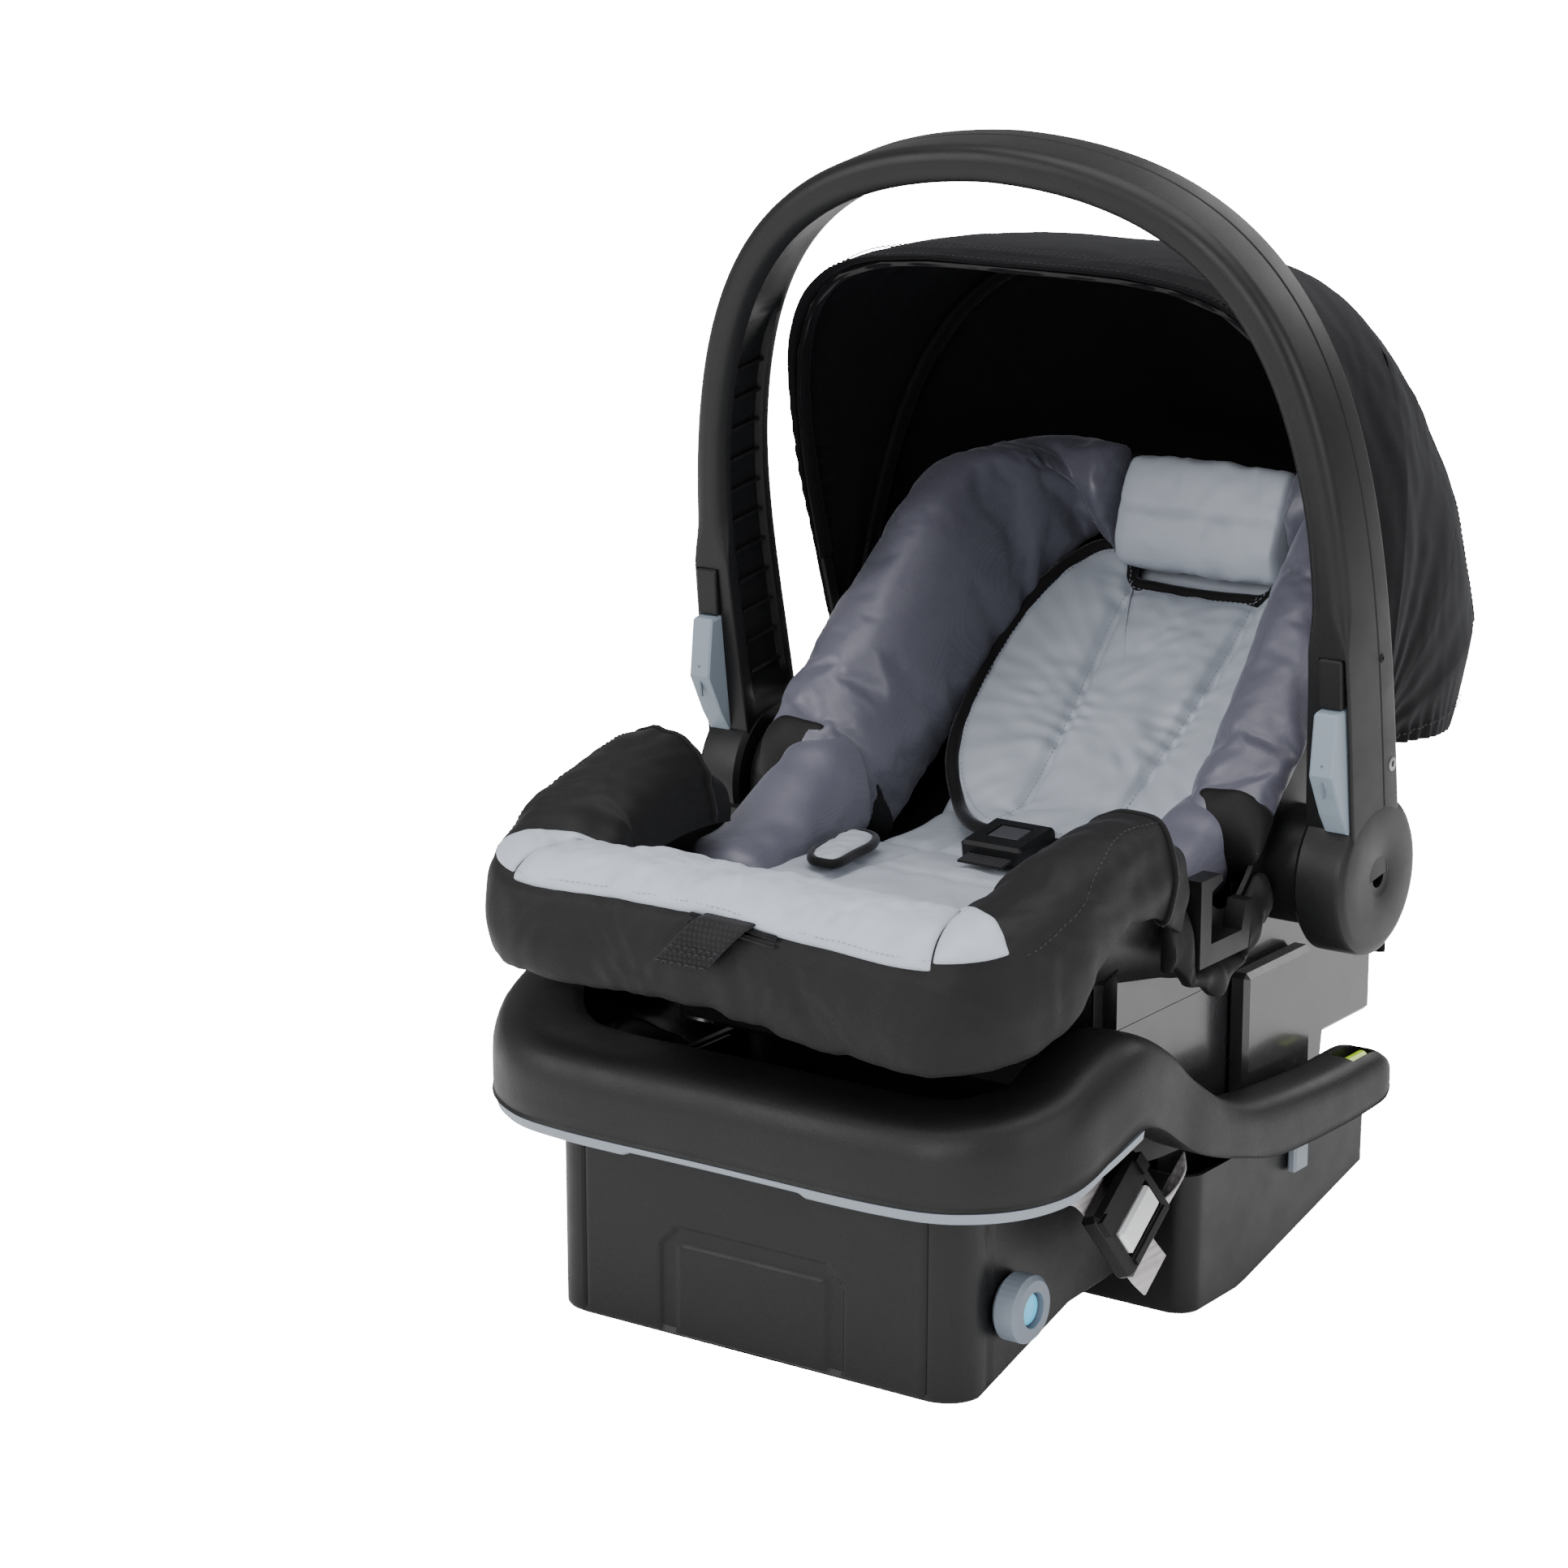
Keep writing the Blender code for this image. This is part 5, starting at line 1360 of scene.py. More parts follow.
    def _slot(self) -> None:
        """The slot in the skirt and the pull strap that hangs out of it."""
        row = self.row_at(0.012)
        last = self.COLUMNS - 1
        rows = slice(row - 12, row + 13)
        outer = self.grid[row, : int(0.45 * last)]
        at = float(np.argmin(np.abs(outer[:, 2] - 0.2615))) / last
        tube = Solid().tube(self.line(rows, at + 0.012, 0.0016), 0.0016)
        tube.tube(self.line(rows, at - 0.010, 0.0014), 0.0013)
        tube.show("strap_slot_edges", PALETTE.binding, Body.CARRIER)
        back = self.grid[row, int(at * last)][1] + 0.004
        count = 40
        drop = np.linspace(0, 1, count)
        front = LAYOUT.rim_front
        y = np.interp(drop, (0, 0.08, 0.35, 1), (back, front - 0.0020, front - 0.0052, front - 0.0055))
        line = np.stack((0.012 - 0.028 * drop, y, 0.2620 - 0.0290 * drop), axis=1)
        wide = np.tile(np.array((0.9995, 0.02, 0.0)), (count, 1))
        strap = ribbon(line, wide, 0.034, 0.0016)
        strap.show("pull_strap", PALETTE.web_black, Body.CARRIER, 60, ["harness_pull_strap"])
        rows = []
        for share in (0.60, 0.70, 0.93):
            at = line[int(share * (count - 1))]
            rows.append(np.array([at + (x, -0.0016, 0) for x in np.linspace(-0.0145, 0.0145, 12)]))
        SEWING.rows("strap_stitches", rows, PALETTE.thread_black, Body.CARRIER)


def ribbon(line: np.ndarray, wide: np.ndarray, width: float | np.ndarray, thick: float) -> Solid:
    """Webbing along a line.

    Args:
        line: Middle of the webbing.
        wide: Unit directions across it.
        width: Its width, or one for each point.
        thick: Its thickness.
    """
    out = np.cross(headings(line), wide)
    out /= np.linalg.norm(out, axis=1)[:, None]
    half = np.broadcast_to(width, len(line)) / 2
    section = [(a, 0.5) for a in np.linspace(-0.97, 0.97, 15)]
    section += [(1.0, 0.2), (1.0, -0.2)]
    section += [(a, -0.5) for a in np.linspace(0.97, -0.97, 15)]
    section += [(-1.0, -0.2), (-1.0, 0.2)]
    rings = [line + wide * (half * a)[:, None] + out * (thick * o) for a, o in section]
    return Solid().loft(np.stack(rings, axis=1))


# ------------------------------------------------------------------ side bolsters
@dataclass(frozen=True)
class BolsterSize:
    """The padded sides."""

    width: float = 0.060
    rise: float = 0.022
    places: tuple[float, ...] = (-0.045, -0.020, 0.035, 0.085, 0.135)
    head_half: float = 0.0595
    rows: int = 96
    columns: int = 56
    wrapped: int = 9  # rows under the black cloth at the lower end


class Bolster:
    """One padded side, from beside the belt guide up and round the head."""

    def __init__(self, side: int, size: BolsterSize = BolsterSize()) -> None:
        """Keep the side and the sizes."""
        self.side = side
        self.word = "right" if side > 0 else "left"
        self.size = size

    def grid(self) -> Grid:
        """Rings along the bolster; column 0 starts at the outside under the rim."""
        size, rows = self.size, self.size.rows
        places = []
        for y in size.places:
            x, z, keel_y, keel_z = SHELL.rim_at(y)
            places.append((x, y, z, keel_y, keel_z, 0.0))
        rim_y, rim_z, keel_y, keel_z, narrow = SHELL.size.stations[-1]
        for x, turned in ((LAYOUT.shell_half - narrow, 0.5), (size.head_half, 1.0)):
            places.append((x, rim_y, rim_z, keel_y, keel_z, turned))
        rings = []
        for i, (x, y, z, keel_y, keel_z, turned) in enumerate(through(places, rows)):
            rim = np.array((x, y, z))
            up = np.array((0.0, y - keel_y, z - keel_z))
            depth = 0.5 * np.linalg.norm(up)
            up /= np.linalg.norm(up)
            inward = np.array((-1.0, 0, 0)) * (1 - turned) + np.array((0, -up[2], up[1])) * turned
            inward /= np.linalg.norm(inward)
            near = min(i / 7, (rows - 1 - i) / 5, 1.0)
            swell = math.sqrt(max(0.0, 1 - (1 - near) ** 2))
            wide = size.width * (0.55 + 0.45 * swell)
            rise = size.rise * (0.25 + 0.75 * swell)
            shape = through(
                (
                    (0.0070, 0.0020), (-0.0030, 0.0020), (-0.0025, 0.45 * rise), (0.0015, 0.80 * rise),
                    (0.014, 1.02 * rise), (0.62 * wide, 0.84 * rise), (0.86 * wide, -0.004),
                    (0.985 * wide, -0.5 * depth), (0.93 * wide, -0.96 * depth), (0.036, -depth),
                    (0.0215, -0.5 * depth), (0.0175, -0.014), (0.0120, -0.001),
                ),
                size.columns,
                closed=True,
            )
            rings.append([rim + inward * a + up * b for a, b in shape])
        grid = np.array(rings)
        grid[..., 0] *= self.side
        return grid

    def dress(self) -> None:
        """Stuff the bolster, and wrap its lower end."""
        name = f"bolster_{self.word}"
        grid = self.grid()
        rows, columns = grid.shape[:2]
        over = np.arange(columns) / columns
        if self.side < 0:
            grid, over = grid[:, ::-1], over[::-1]
        hidden = np.clip((over - 0.60) / 0.05, 0, 1) + np.clip((0.05 - over) / 0.02, 0, 1)
        ends = np.clip(1 - np.minimum(np.arange(rows), rows - 1 - np.arange(rows)) / 3.0, 0, 1)
        pinned = np.clip(hidden[None, :] + ends[:, None], 0, 1).ravel()
        mesh = Stuffing.fill(Solid().loft(grid).mesh(name), pinned, 3.2, 0.05, 0.0055)
        cushion(name, finer(mesh), PALETTE.satin, [f"side_bolster_{self.word}"])
        self._wrap()
        self._toe()

    def _toe(self) -> None:
        """The padded side carried down into the seat, ahead of the bolster."""
        rings = []
        low = 0.2200
        turn = full_turn(40)
        across, up = squarish(np.cos(turn), 0.8), squarish(np.sin(turn), 0.8)
        for share in np.linspace(0, 1, 46):
            blunt = math.sqrt(max(0.0, 1 - max(0.0, (share - 0.82) / 0.18) ** 2))
            end = blunt * min(1.0, 0.6 + share * 6)
            wide = 0.0240 * (0.35 + 0.65 * end)
            top = 0.286 - 0.044 * float(ease(share * 1.15))
            tall = (top - low) / 2 * (0.5 + 0.5 * end)
            x = 0.1270 - 0.004 * share + wide * across + 0.006 * up
            y = np.full(len(turn), -0.020 - 0.140 * share)
            ring = np.stack((x, y, low + tall + tall * up), axis=1)
            ring += 0.0011 * ripple(ring, 0.035, 91)[:, None] * np.stack((across, 0 * across, up), axis=1)
            rings.append(ring)
        grid = np.array(rings)
        grid[..., 0] *= self.side
        name = f"bolster_toe_{self.word}"
        cushion(name, finer(Solid().loft(grid).mesh(name)), PALETTE.satin)

    def _wrap(self) -> None:
        """Black cloth pulled round the bolster's lower end."""
        count = self.size.wrapped
        grid = self.grid()[:count]
        middle = grid.mean(axis=1, keepdims=True)
        away = grid - middle
        away /= np.linalg.norm(away, axis=-1, keepdims=True) + 1e-9
        rows = np.linspace(0, 1, count)[:, None]
        over = np.linspace(0, 1, self.size.columns)[None, :]
        swell = 0.0028 * np.sin(math.pi * np.clip(rows * 1.02, 0, 1)) ** 0.5
        lift = swell + 0.0010 * np.sin(over * 60 + rows * 5) * rows
        inside = ((over > 0.64) | (over < 0.03)).astype(float)
        grid = grid + away * ((lift * (1 - inside)) - 0.0015 * inside)[..., None]
        grid[-1] -= away[-1] * 0.0035
        first = grid[:1] + (middle[:1] - grid[:1]) * 0.35
        name = f"bolster_wrap_{self.word}"
        mesh = Solid().loft(np.concatenate((first, grid))).mesh(name)
        cushion(name, finer(mesh), PALETTE.cover)


# ------------------------------------------------------------------ cushions
@dataclass(frozen=True)
class CushionSize:
    """Lines of the cushions in the middle plane and the insert's outline on its surface."""

    insert_back: tuple[tuple[float, float], ...] = (
        (0.006, 0.2272), (0.034, 0.2290), (0.064, 0.2472), (0.1055, 0.2777), (0.148, 0.3123),
        (0.181, 0.3398),
    )
    insert_half: tuple[tuple[float, float], ...] = (
        (0.030, -0.0105), (0.052, -0.0015), (0.077, 0.024), (0.0955, 0.062), (0.1025, 0.108),
        (0.1010, 0.156), (0.093, 0.197), (0.079, 0.224), (0.0645, 0.230), (0.0530, 0.221),
        (0.0465, 0.2080), (0.030, 0.2070),
    )
    insert_length: float = 0.203
    pad_line: tuple[tuple[float, float], ...] = (
        (-0.240, 0.236), (-0.170, 0.230), (-0.083, 0.228), (-0.020, 0.222), (0.040, 0.226),
        (0.091, 0.262), (0.135, 0.297), (0.190, 0.343), (0.209, 0.361),
    )
    pad_half: tuple[float, ...] = (0.118, 0.126, 0.118, 0.104, 0.104, 0.102, 0.096, 0.082, 0.066)
    pad_thick: float = 0.022
    pad_quilting: tuple[float, ...] = (0.075, 0.150, 0.215, 0.285, 0.350)
    head_section: tuple[tuple[float, float], ...] = (
        (0.1890, 0.4250), (0.1760, 0.4000), (0.1690, 0.3760), (0.1750, 0.3600), (0.1940, 0.3560),
        (0.215, 0.3700), (0.2325, 0.389), (0.225, 0.4060), (0.208, 0.4225),
    )
    head_half: float = 0.0572


class Cushions:
    """The seat pad, the lobed body insert, the head pad and the small bound pad."""

    MIDDLE = np.array((0.0, 0.100))  # of the insert, as across and along

    def __init__(self, size: CushionSize = CushionSize()) -> None:
        """Keep the sizes and the insert's back line."""
        self.size = size
        self.insert_line = through([(0.0, y, z) for y, z in size.insert_back], 200)
        self.insert_far = distances(self.insert_line)

    def on_insert(self, across: np.ndarray, along: np.ndarray, lift: np.ndarray | float) -> np.ndarray:
        """Points over the insert's back line; the lobes lean up at the sides."""
        line, far = self.insert_line, self.insert_far
        at = along * (far[-1] / self.size.insert_length)
        y, z = (np.interp(at, far, line[:, k]) for k in (1, 2))
        over = at - np.clip(at, 0, far[-1])
        ahead = headings(line)
        ay, az = (np.interp(at, far, ahead[:, k]) for k in (1, 2))
        lift = lift + 0.017 * np.clip(np.abs(across) / 0.0965, 0, 1) ** 2.6 * ease(along / 0.05)
        return np.stack((across, y + ay * over - az * lift, z + az * over + ay * lift), axis=-1)

    def outline(self, count: int) -> np.ndarray:
        """The insert's outline as across and along."""
        right = self.size.insert_half
        points = [(0.0, -0.0125), *right, (0.0, 0.2065), *((-x, s) for x, s in reversed(right))]
        return through(points, count, closed=True)

    @staticmethod
    def seam_at(along: np.ndarray) -> np.ndarray:
        """How far from the middle the quilting seams run."""
        return 0.0335 + 0.0105 * ease((along - 0.03) / 0.16)

    def insert_mesh(self) -> bpy.types.Mesh:
        """The insert as rings from its middle to its bound edge, front and back."""
        edge = self.outline(176)
        shares = np.concatenate((np.linspace(0.03, 0.9, 34), np.linspace(0.92, 1.0, 7)))
        front, back = [], []
        for share in shares:
            across, along = (self.MIDDLE + (edge - self.MIDDLE) * share).T
            seam = np.abs(np.abs(across) - self.seam_at(along))
            full = 1 - 0.80 * share**7
            body = 0.0125 + 0.0035 * np.clip(1 - np.abs(across) / 0.04, 0, 1) ** 0.5
            groove = 0.0060 * dip(seam, 0.0042) + 0.0022 * dip(seam, 0.013)
            points = self.on_insert(across, along, 0.0)
            soft = 0.0011 * ripple(points, 0.05, 41) + 0.0006 * ripple(points, 0.020, 42)
            pull = 0.0010 * np.exp(-seam / 0.010) * np.sin(along * 410 + 4 * np.sin(along * 60))
            radial = 0.0007 * share**3 * np.sin(np.arange(len(edge)) * 1.45)
            lift = (body - groove) * full + (soft + pull + radial) * (0.3 + full)
            front.append(self.on_insert(across, along, lift))
            back.append(self.on_insert(across, along, 0.0006))
        grid = np.array(front + back[::-1])
        return finer(Solid().loft(grid).mesh("body_insert_cloth"))

    def dress(self) -> None:
        """Show the cushions with their quilting and binding."""
        cushion("body_insert_cloth", self.insert_mesh(), PALETTE.light, ["body_insert"])
        edge = self.outline(260)
        line = self.on_insert(edge[:, 0], edge[:, 1], 0.0034)
        grown = self.on_insert(edge[:, 0] * 1.01, edge[:, 1], 0.0034)
        binding = Solid().tube(line * 0.3 + grown * 0.7, 0.0042, 14, closed=True)
        binding.show("insert_binding", PALETTE.binding, Body.CARRIER)
        along = np.linspace(0.002, 0.204, 80)
        rows = [self.on_insert(side * self.seam_at(along), along, 0.0094) for side, _ in SIDES]
        inner = self.MIDDLE + (edge - self.MIDDLE) * 0.945
        rows.append(self.on_insert(inner[:, 0], inner[:, 1], 0.0083))
        SEWING.rows("insert_stitches", rows, PALETTE.thread_grey, Body.CARRIER, 0.0036, 0.0026, 0.0003)
        self._seat_pad()
        self._head_pad()
        self._thigh_pad()

    def _seat_pad(self) -> None:
        """The pad the insert lies on."""
        size = self.size
        columns = 76
        rows = [(0.0, y, z, half) for (y, z), half in zip(size.pad_line, size.pad_half)]
        path = through(rows, 120)
        ahead = headings(path[:, 1:3])
        far = distances(path[:, :3])
        across = np.linspace(-1, 1, columns)
        front, back = [], []
        for i, (_, y, z, half) in enumerate(path):
            end = min(far[i], far[-1] - far[i]) / 0.016
            side = (1 - np.abs(across)) / 0.16
            edge = np.clip(np.minimum(side, end), 0, 1)
            swell = np.sqrt(1 - (1 - edge) ** 2)
            x = across * half
            quilt = sum(float(dip(far[i] - at, 0.0045)) for at in size.pad_quilting)
            sides = dip(np.abs(x) - 0.062, 0.0045)
            lift = -0.0014 - 0.0030 * np.minimum(1, quilt + sides) - (1 - swell) * 0.012
            place = np.stack((x, np.full(columns, y), np.full(columns, z)), axis=1)
            lift = lift + 0.0008 * ripple(place, 0.045, 51)
            deep = -size.pad_thick + (1 - swell) * 0.006
            for grid, off in ((front, lift), (back, deep)):
                grid.append(np.stack((x, y - ahead[i, 1] * off, z + ahead[i, 0] * off), axis=1))
        mesh = Solid().sheet(np.array(front), np.array(back)).mesh("seat_pad_cloth")
        cushion("seat_pad_cloth", mesh, PALETTE.light, ["seat_pad"])

    def _head_pad(self) -> None:
        """The squarish pad under the head, with a crease across it."""
        count, half = 60, self.size.head_half
        outline = through(self.size.head_section, count, closed=True)
        middle = outline.mean(axis=0)
        rings = []
        for share in np.linspace(-1, 1, 90):
            near = abs(share)
            size = 0.86 + 0.14 * math.sqrt(max(0, 1 - near**8))
            if near > 0.97:
                size *= 1 - (near - 0.97) * 4
            flat = middle + (outline - middle) * size
            points = np.stack((np.full(count, share * half), flat[:, 0], flat[:, 1]), axis=1)
            away = points - np.array((share * half, *middle))
            away /= np.linalg.norm(away, axis=1)[:, None] + 1e-9
            crease = 0.0016 * dip(points[:, 2] - 0.3985, 0.0022)
            bump = 0.0010 * ripple(points, 0.040, 61) + 0.0005 * ripple(points, 0.017, 62)
            rings.append(points + away * (bump - crease)[:, None])
        mesh = Solid().loft(np.array(rings)).mesh("head_pad_cloth")
        cushion("head_pad_cloth", mesh, PALETTE.light, ["head_pad"])

    def _thigh_pad(self) -> None:
        """A small light pad with a black bound edge, beside the crotch strap."""
        turn = full_turn(72)
        c, s = np.cos(turn), np.sin(turn)
        x = -0.076 + 0.0120 * squarish(c, 0.6) - 0.008 * s
        edge = np.stack((x, -0.0960 + 0.0330 * squarish(s, 0.6)), axis=1)
        middle = edge.mean(axis=0)
        front, back = [], []
        for share in np.linspace(0.05, 1.0, 20):
            flat = middle + (edge - middle) * share
            lift = 0.2325 + 0.0060 * math.sqrt(max(0, 1 - share**4))
            bump = 0.0007 * ripple(np.column_stack((flat, 0 * turn)), 0.014, 71)
            front.append(np.column_stack((flat, lift + bump)))
            back.append(np.column_stack((flat, np.full(len(turn), 0.2312))))
        mesh = Solid().loft(np.array(front + back[::-1])).mesh("thigh_pad_cloth")
        cushion("thigh_pad_cloth", mesh, PALETTE.light, ["thigh_pad"])
        line = np.column_stack((edge, np.full(len(turn), 0.2335)))
        binding = Solid().tube(line, 0.0030, 12, closed=True)
        binding.show("thigh_pad_binding", PALETTE.binding, Body.CARRIER)


# ------------------------------------------------------------------ the cover's side hems
class SideHem:
    """The cover's cloth round the outside of the shell, from the horn to the hub."""

    def __init__(self, side: int) -> None:
        """Keep the side."""
        self.side = side
        self.word = "right" if side > 0 else "left"

    def mesh(self) -> bpy.types.Mesh:
        """Cloth that tucks up under the rim, with soft folds and a lower hem."""
        up = np.linspace(0, 1, 26)
        swell = 0.0035 + 0.0072 * np.sin(math.pi * np.clip(up * 0.9 + 0.08, 0, 1)) ** 0.7
        front, back = [], []
        for share in np.linspace(0, 1, 70):
            at = -0.148 + 0.108 * share
            x, rim_z, _, _ = SHELL.rim_at(at)
            low = 0.2015 + 0.012 * math.cos(share * math.pi * 2) + 0.003 * math.sin(share * 21)
            under = at < -0.126 or at > -0.064
            high = min((rim_z - 0.002) if under else 0.2095, 0.246)
            z = low + (high - low) * up
            y = np.full(len(up), at)
            points = np.stack((np.full(len(up), x), y, z), axis=1)
            folds = 0.0016 * np.sin(at * 330 + up * 2.5) * (1 - 0.6 * up)
            out = swell + folds + 0.0008 * ripple(points, 0.02, 81)
            front.append(np.stack((self.side * (x + out), y, z), axis=1))
            back.append(np.stack((np.full(len(up), self.side * (x + 0.0008)), y, z), axis=1))
        return finer(Solid().sheet(np.array(front), np.array(back)).mesh(f"side_hem_{self.word}"))

    def dress(self) -> None:
        """Show the hem."""
        name = f"side_hem_{self.word}"
        cushion(name, self.mesh(), PALETTE.cover, [f"side_cover_{self.word}"])


# ------------------------------------------------------------------ the base
@dataclass(frozen=True)
class BaseSize:
    """The base's rim as centre x, y, half width, low and high, from the rear end to the middle."""

    rim: tuple[tuple[float, ...], ...] = (
        (0.1815, 0.082, 0.0150, 0.090, 0.112),
        (0.1815, 0.062, 0.0155, 0.086, 0.117),
        (0.1815, 0.015, 0.0155, 0.085, 0.117),
        (0.1815, -0.055, 0.0155, 0.088, 0.122),
        (0.1805, -0.098, 0.0160, 0.098, 0.130),
        (0.1785, -0.135, 0.0175, 0.110, 0.152),
        (0.1745, -0.165, 0.0205, 0.126, 0.178),
        (0.1740, -0.205, 0.0225, 0.146, 0.196),
        (0.1710, -0.240, 0.0240, 0.136, 0.190),
        (0.1650, -0.270, 0.0255, 0.126, 0.178),
        (0.1410, -0.297, 0.0270, 0.123, 0.171),
        (0.1010, -0.3075, 0.0275, 0.123, 0.168),
        (0.0, -0.3075, 0.0275, 0.123, 0.168),
    )
    wall: float = 0.003
    corner: float = 0.020
    slot: tuple[float, float, float] = (0.138, -0.162, 0.101)
    adjuster: tuple[float, float, float] = (0.168, -0.178, 0.083)
    vial: tuple[float, float, float] = (0.1815, 0.058, 0.120)


class Base:
    """The tub, its rolled rim, the grey strip under it and the belt's webbing."""

    def __init__(self, size: BaseSize = BaseSize()) -> None:
        """Keep the sizes."""
        self.size = size

    def _round(self, first: int) -> tuple[np.ndarray, np.ndarray]:
        """The rim's rows all the way round, and their outward directions."""
        rows = list(self.size.rim[first:])
        rows += [(-x, *rest) for x, *rest in reversed(rows[:-1])]
        path = through(rows, 300)
        return path, outward(path)

    def _adjuster(self) -> Matrix:
        """Where the belt adjuster sits: leaning out, and turned along the belt."""
        place = Matrix.Translation(self.size.adjuster) @ Matrix.Rotation(math.radians(-22), 4, "Y")
        return place @ Matrix.Rotation(math.radians(24), 4, "X")

    def rim_mesh(self) -> bpy.types.Mesh:
        """The rolled rim with the vial's well cut in its right arm."""
        path, out = self._round(0)
        section = through(
            (
                (-0.93, 0.0), (0.86, 0.0), (0.965, 0.035), (1.0, 0.12), (1.0, 0.50), (0.955, 0.68),
                (0.80, 0.86), (0.50, 0.965), (0.05, 1.0), (-0.70, 0.985), (-0.93, 0.95), (-1.0, 0.86),
                (-1.0, 0.05),
            ),
            64,
            closed=True,
        )
        rings = []
        last = len(path) - 1
        for i, ((x, y, half, low, high), way) in enumerate(zip(path, out)):
            near = min(i, last - i) / 5.0
            puff = math.sqrt(max(0.0, 1 - (1 - min(1.0, 0.15 + near)) ** 2))
            grown = 0.55 + 0.45 * puff
            shape = [(a * grown, 0.5 + (u - 0.5) * grown) for a, u in section]
            rings.append(
                [(x + way[0] * half * a, y + way[1] * half * a, low + (high - low) * u) for a, u in shape]
            )
        mesh = Solid().loft(np.array(rings)).mesh("base_rim_moulding")
        well = Solid().brick(Vector(self.size.vial), UPRIGHT, (0.0080, 0.0159, 0.0150))
        return carve(mesh, well.mesh("vial_well"))

    def trim_mesh(self) -> bpy.types.Mesh:
        """The grey strip, a little thinner across the middle of the front."""
        path, out = self._round(7)
        rings = []
        for (x, y, half, low, _), way in zip(path, out):
            top = low - 0.0012
            step = 1 - 0.34 * float(ease((0.062 - abs(x)) / 0.006)) if y < -0.285 else 1.0
            deep = 0.007 * step
            flat = through(
                (
                    (0.36, 0), (0.40, -deep), (0.80, -deep), (0.93, -0.62 * deep),
                    (0.945, -0.1 * deep), (0.90, 0),
                ),
                24,
                closed=True,
            )
            rings.append([(x + way[0] * half * a, y + way[1] * half * a, top + d) for a, d in flat])
        return Solid().loft(np.array(rings)).mesh("rim_trim_moulding")

    @staticmethod
    def _plan(half: float, front: float, rear: float, corner: float, step: float) -> np.ndarray:
        """A rounded rectangle, from the middle of the front round by the right side, mirrored."""
        points = [(x, front) for x in np.arange(0, half - corner, step)]
        turn = np.linspace(-math.pi / 2, 0, 14)
        middle = (half - corner, front + corner)
        points += [(middle[0] + corner * math.cos(t), middle[1] + corner * math.sin(t)) for t in turn]
        points += [(half, y) for y in np.arange(front + corner + step, rear - 0.006, step * 2)]
        points += [(half, rear - 0.006), (half - 0.002, rear - 0.002), (half - 0.006, rear)]
        points += [(x, rear) for x in np.arange(half - 0.012, 0.004, -0.012)] + [(0.0, rear)]
        right = np.array(points)
        left = right[1:-1][::-1] * (-1, 1)
        return np.concatenate((right, left))

    def _box(
        self,
        plan: np.ndarray,
        bottom: Callable[[np.ndarray], np.ndarray],
        top: float,
        detail: bool,
        rows: int,
    ) -> Solid:
        """An open box on a plan, with a sloping bottom and its walls' outer relief."""
        wall = self.size.wall
        away = plan - np.array((0.0, plan[:, 1].mean()))
        away /= np.linalg.norm(away, axis=1)[:, None]
        first, last = plan[:, 1].min(), plan[:, 1].max()
        centre = np.array((0.0, (first + last) / 2))
        span = np.array((np.abs(plan[:, 0]).max(), (last - first) / 2))
        inner = centre + (plan - centre) * (1 - wall / span)
        low = bottom(plan[:, 1])
        lip = 0.0045
        rings = []
        for rise, pull in ((0.0, lip), (0.0008, 0.0018), (0.0022, 0.0005)):
            rings.append(np.column_stack((plan - away * pull, low + rise)))
        for share in np.linspace(0, 1, rows):
            z = low + lip + (top - low - lip) * share
            flat = plan * (1 - 0.004 * (1 - share), 1)
            if detail:
                flat = flat - self._relief(plan, z)
            rings.append(np.column_stack((flat, z)))
        floor = bottom(inner[:, 1]) + wall
        for share in (1.0, 0.5, 0.0):
            rings.append(np.column_stack((inner, floor + (top - floor) * share)))
        solid = Solid().loft(np.array(rings), ends=False)
        count = len(plan)
        for start, flip in ((0, True), ((len(rings) - 1) * count, False)):
            for j in range(count // 2):
                a, b, c, d = (start + k for k in (j, j + 1, count - j - 1, (count - j) % count))
                face = [a, b, c, d] if j else [a, b, c]
                if j == count // 2 - 1:
                    face = [a, b, d]
                solid.faces.append(tuple(reversed(face)) if flip else tuple(face))
        return solid

    @staticmethod
    def _relief(plan: np.ndarray, z: np.ndarray) -> np.ndarray:
        """How far the front wall is pressed in: corner grooves, a ledge, and a shallow panel."""
        x, y = plan[:, 0], plan[:, 1]
        front = y < -0.2965
        groove = 0.0016 * dip(np.abs(x) - 0.1150, 0.0011) * front
        side = 0.0016 * dip(y + 0.270, 0.0012) * (np.abs(x) > 0.130)
        half = 0.053 + 0.010 * ease((0.064 - z) / 0.012)
        panel = 0.0019 * ease((half - np.abs(x)) / 0.0026) * ease((0.066 - z) / 0.0026) * front
        inner = 0.0012 * ease((half - 0.011 - np.abs(x)) / 0.0024) * ease((0.056 - z) / 0.0024) * front
        ledge = -0.0011 * ease((z - 0.108) / 0.0016)
        push = panel - inner + groove + (ledge * front)
        return np.stack((np.sign(x) * (side + ledge * (np.abs(x) > 0.1378)), -push), axis=1)

    def tub_mesh(self) -> bpy.types.Mesh:
        """The narrow front box, with the slots for the belt."""
        plan = self._plan(LAYOUT.tub_half, LAYOUT.tub_front, -0.106, self.size.corner, 0.0016)

        def bottom(y: np.ndarray) -> np.ndarray:
            """The underside's height at each y."""
            return np.interp(y, (-0.297, -0.277, -0.185, -0.106), (0.0, 0.0, 0.026, 0.030))

        mesh = self._box(plan, bottom, 0.120, True, 76).mesh("base_tub_moulding")
        x, y, z = self.size.slot
        for side, _ in SIDES:
            slot = Solid().brick(Vector((side * x, y, z)), UPRIGHT, (0.010, 0.026, 0.015))
            mesh = carve(mesh, slot.mesh("belt_slot"))
        return mesh

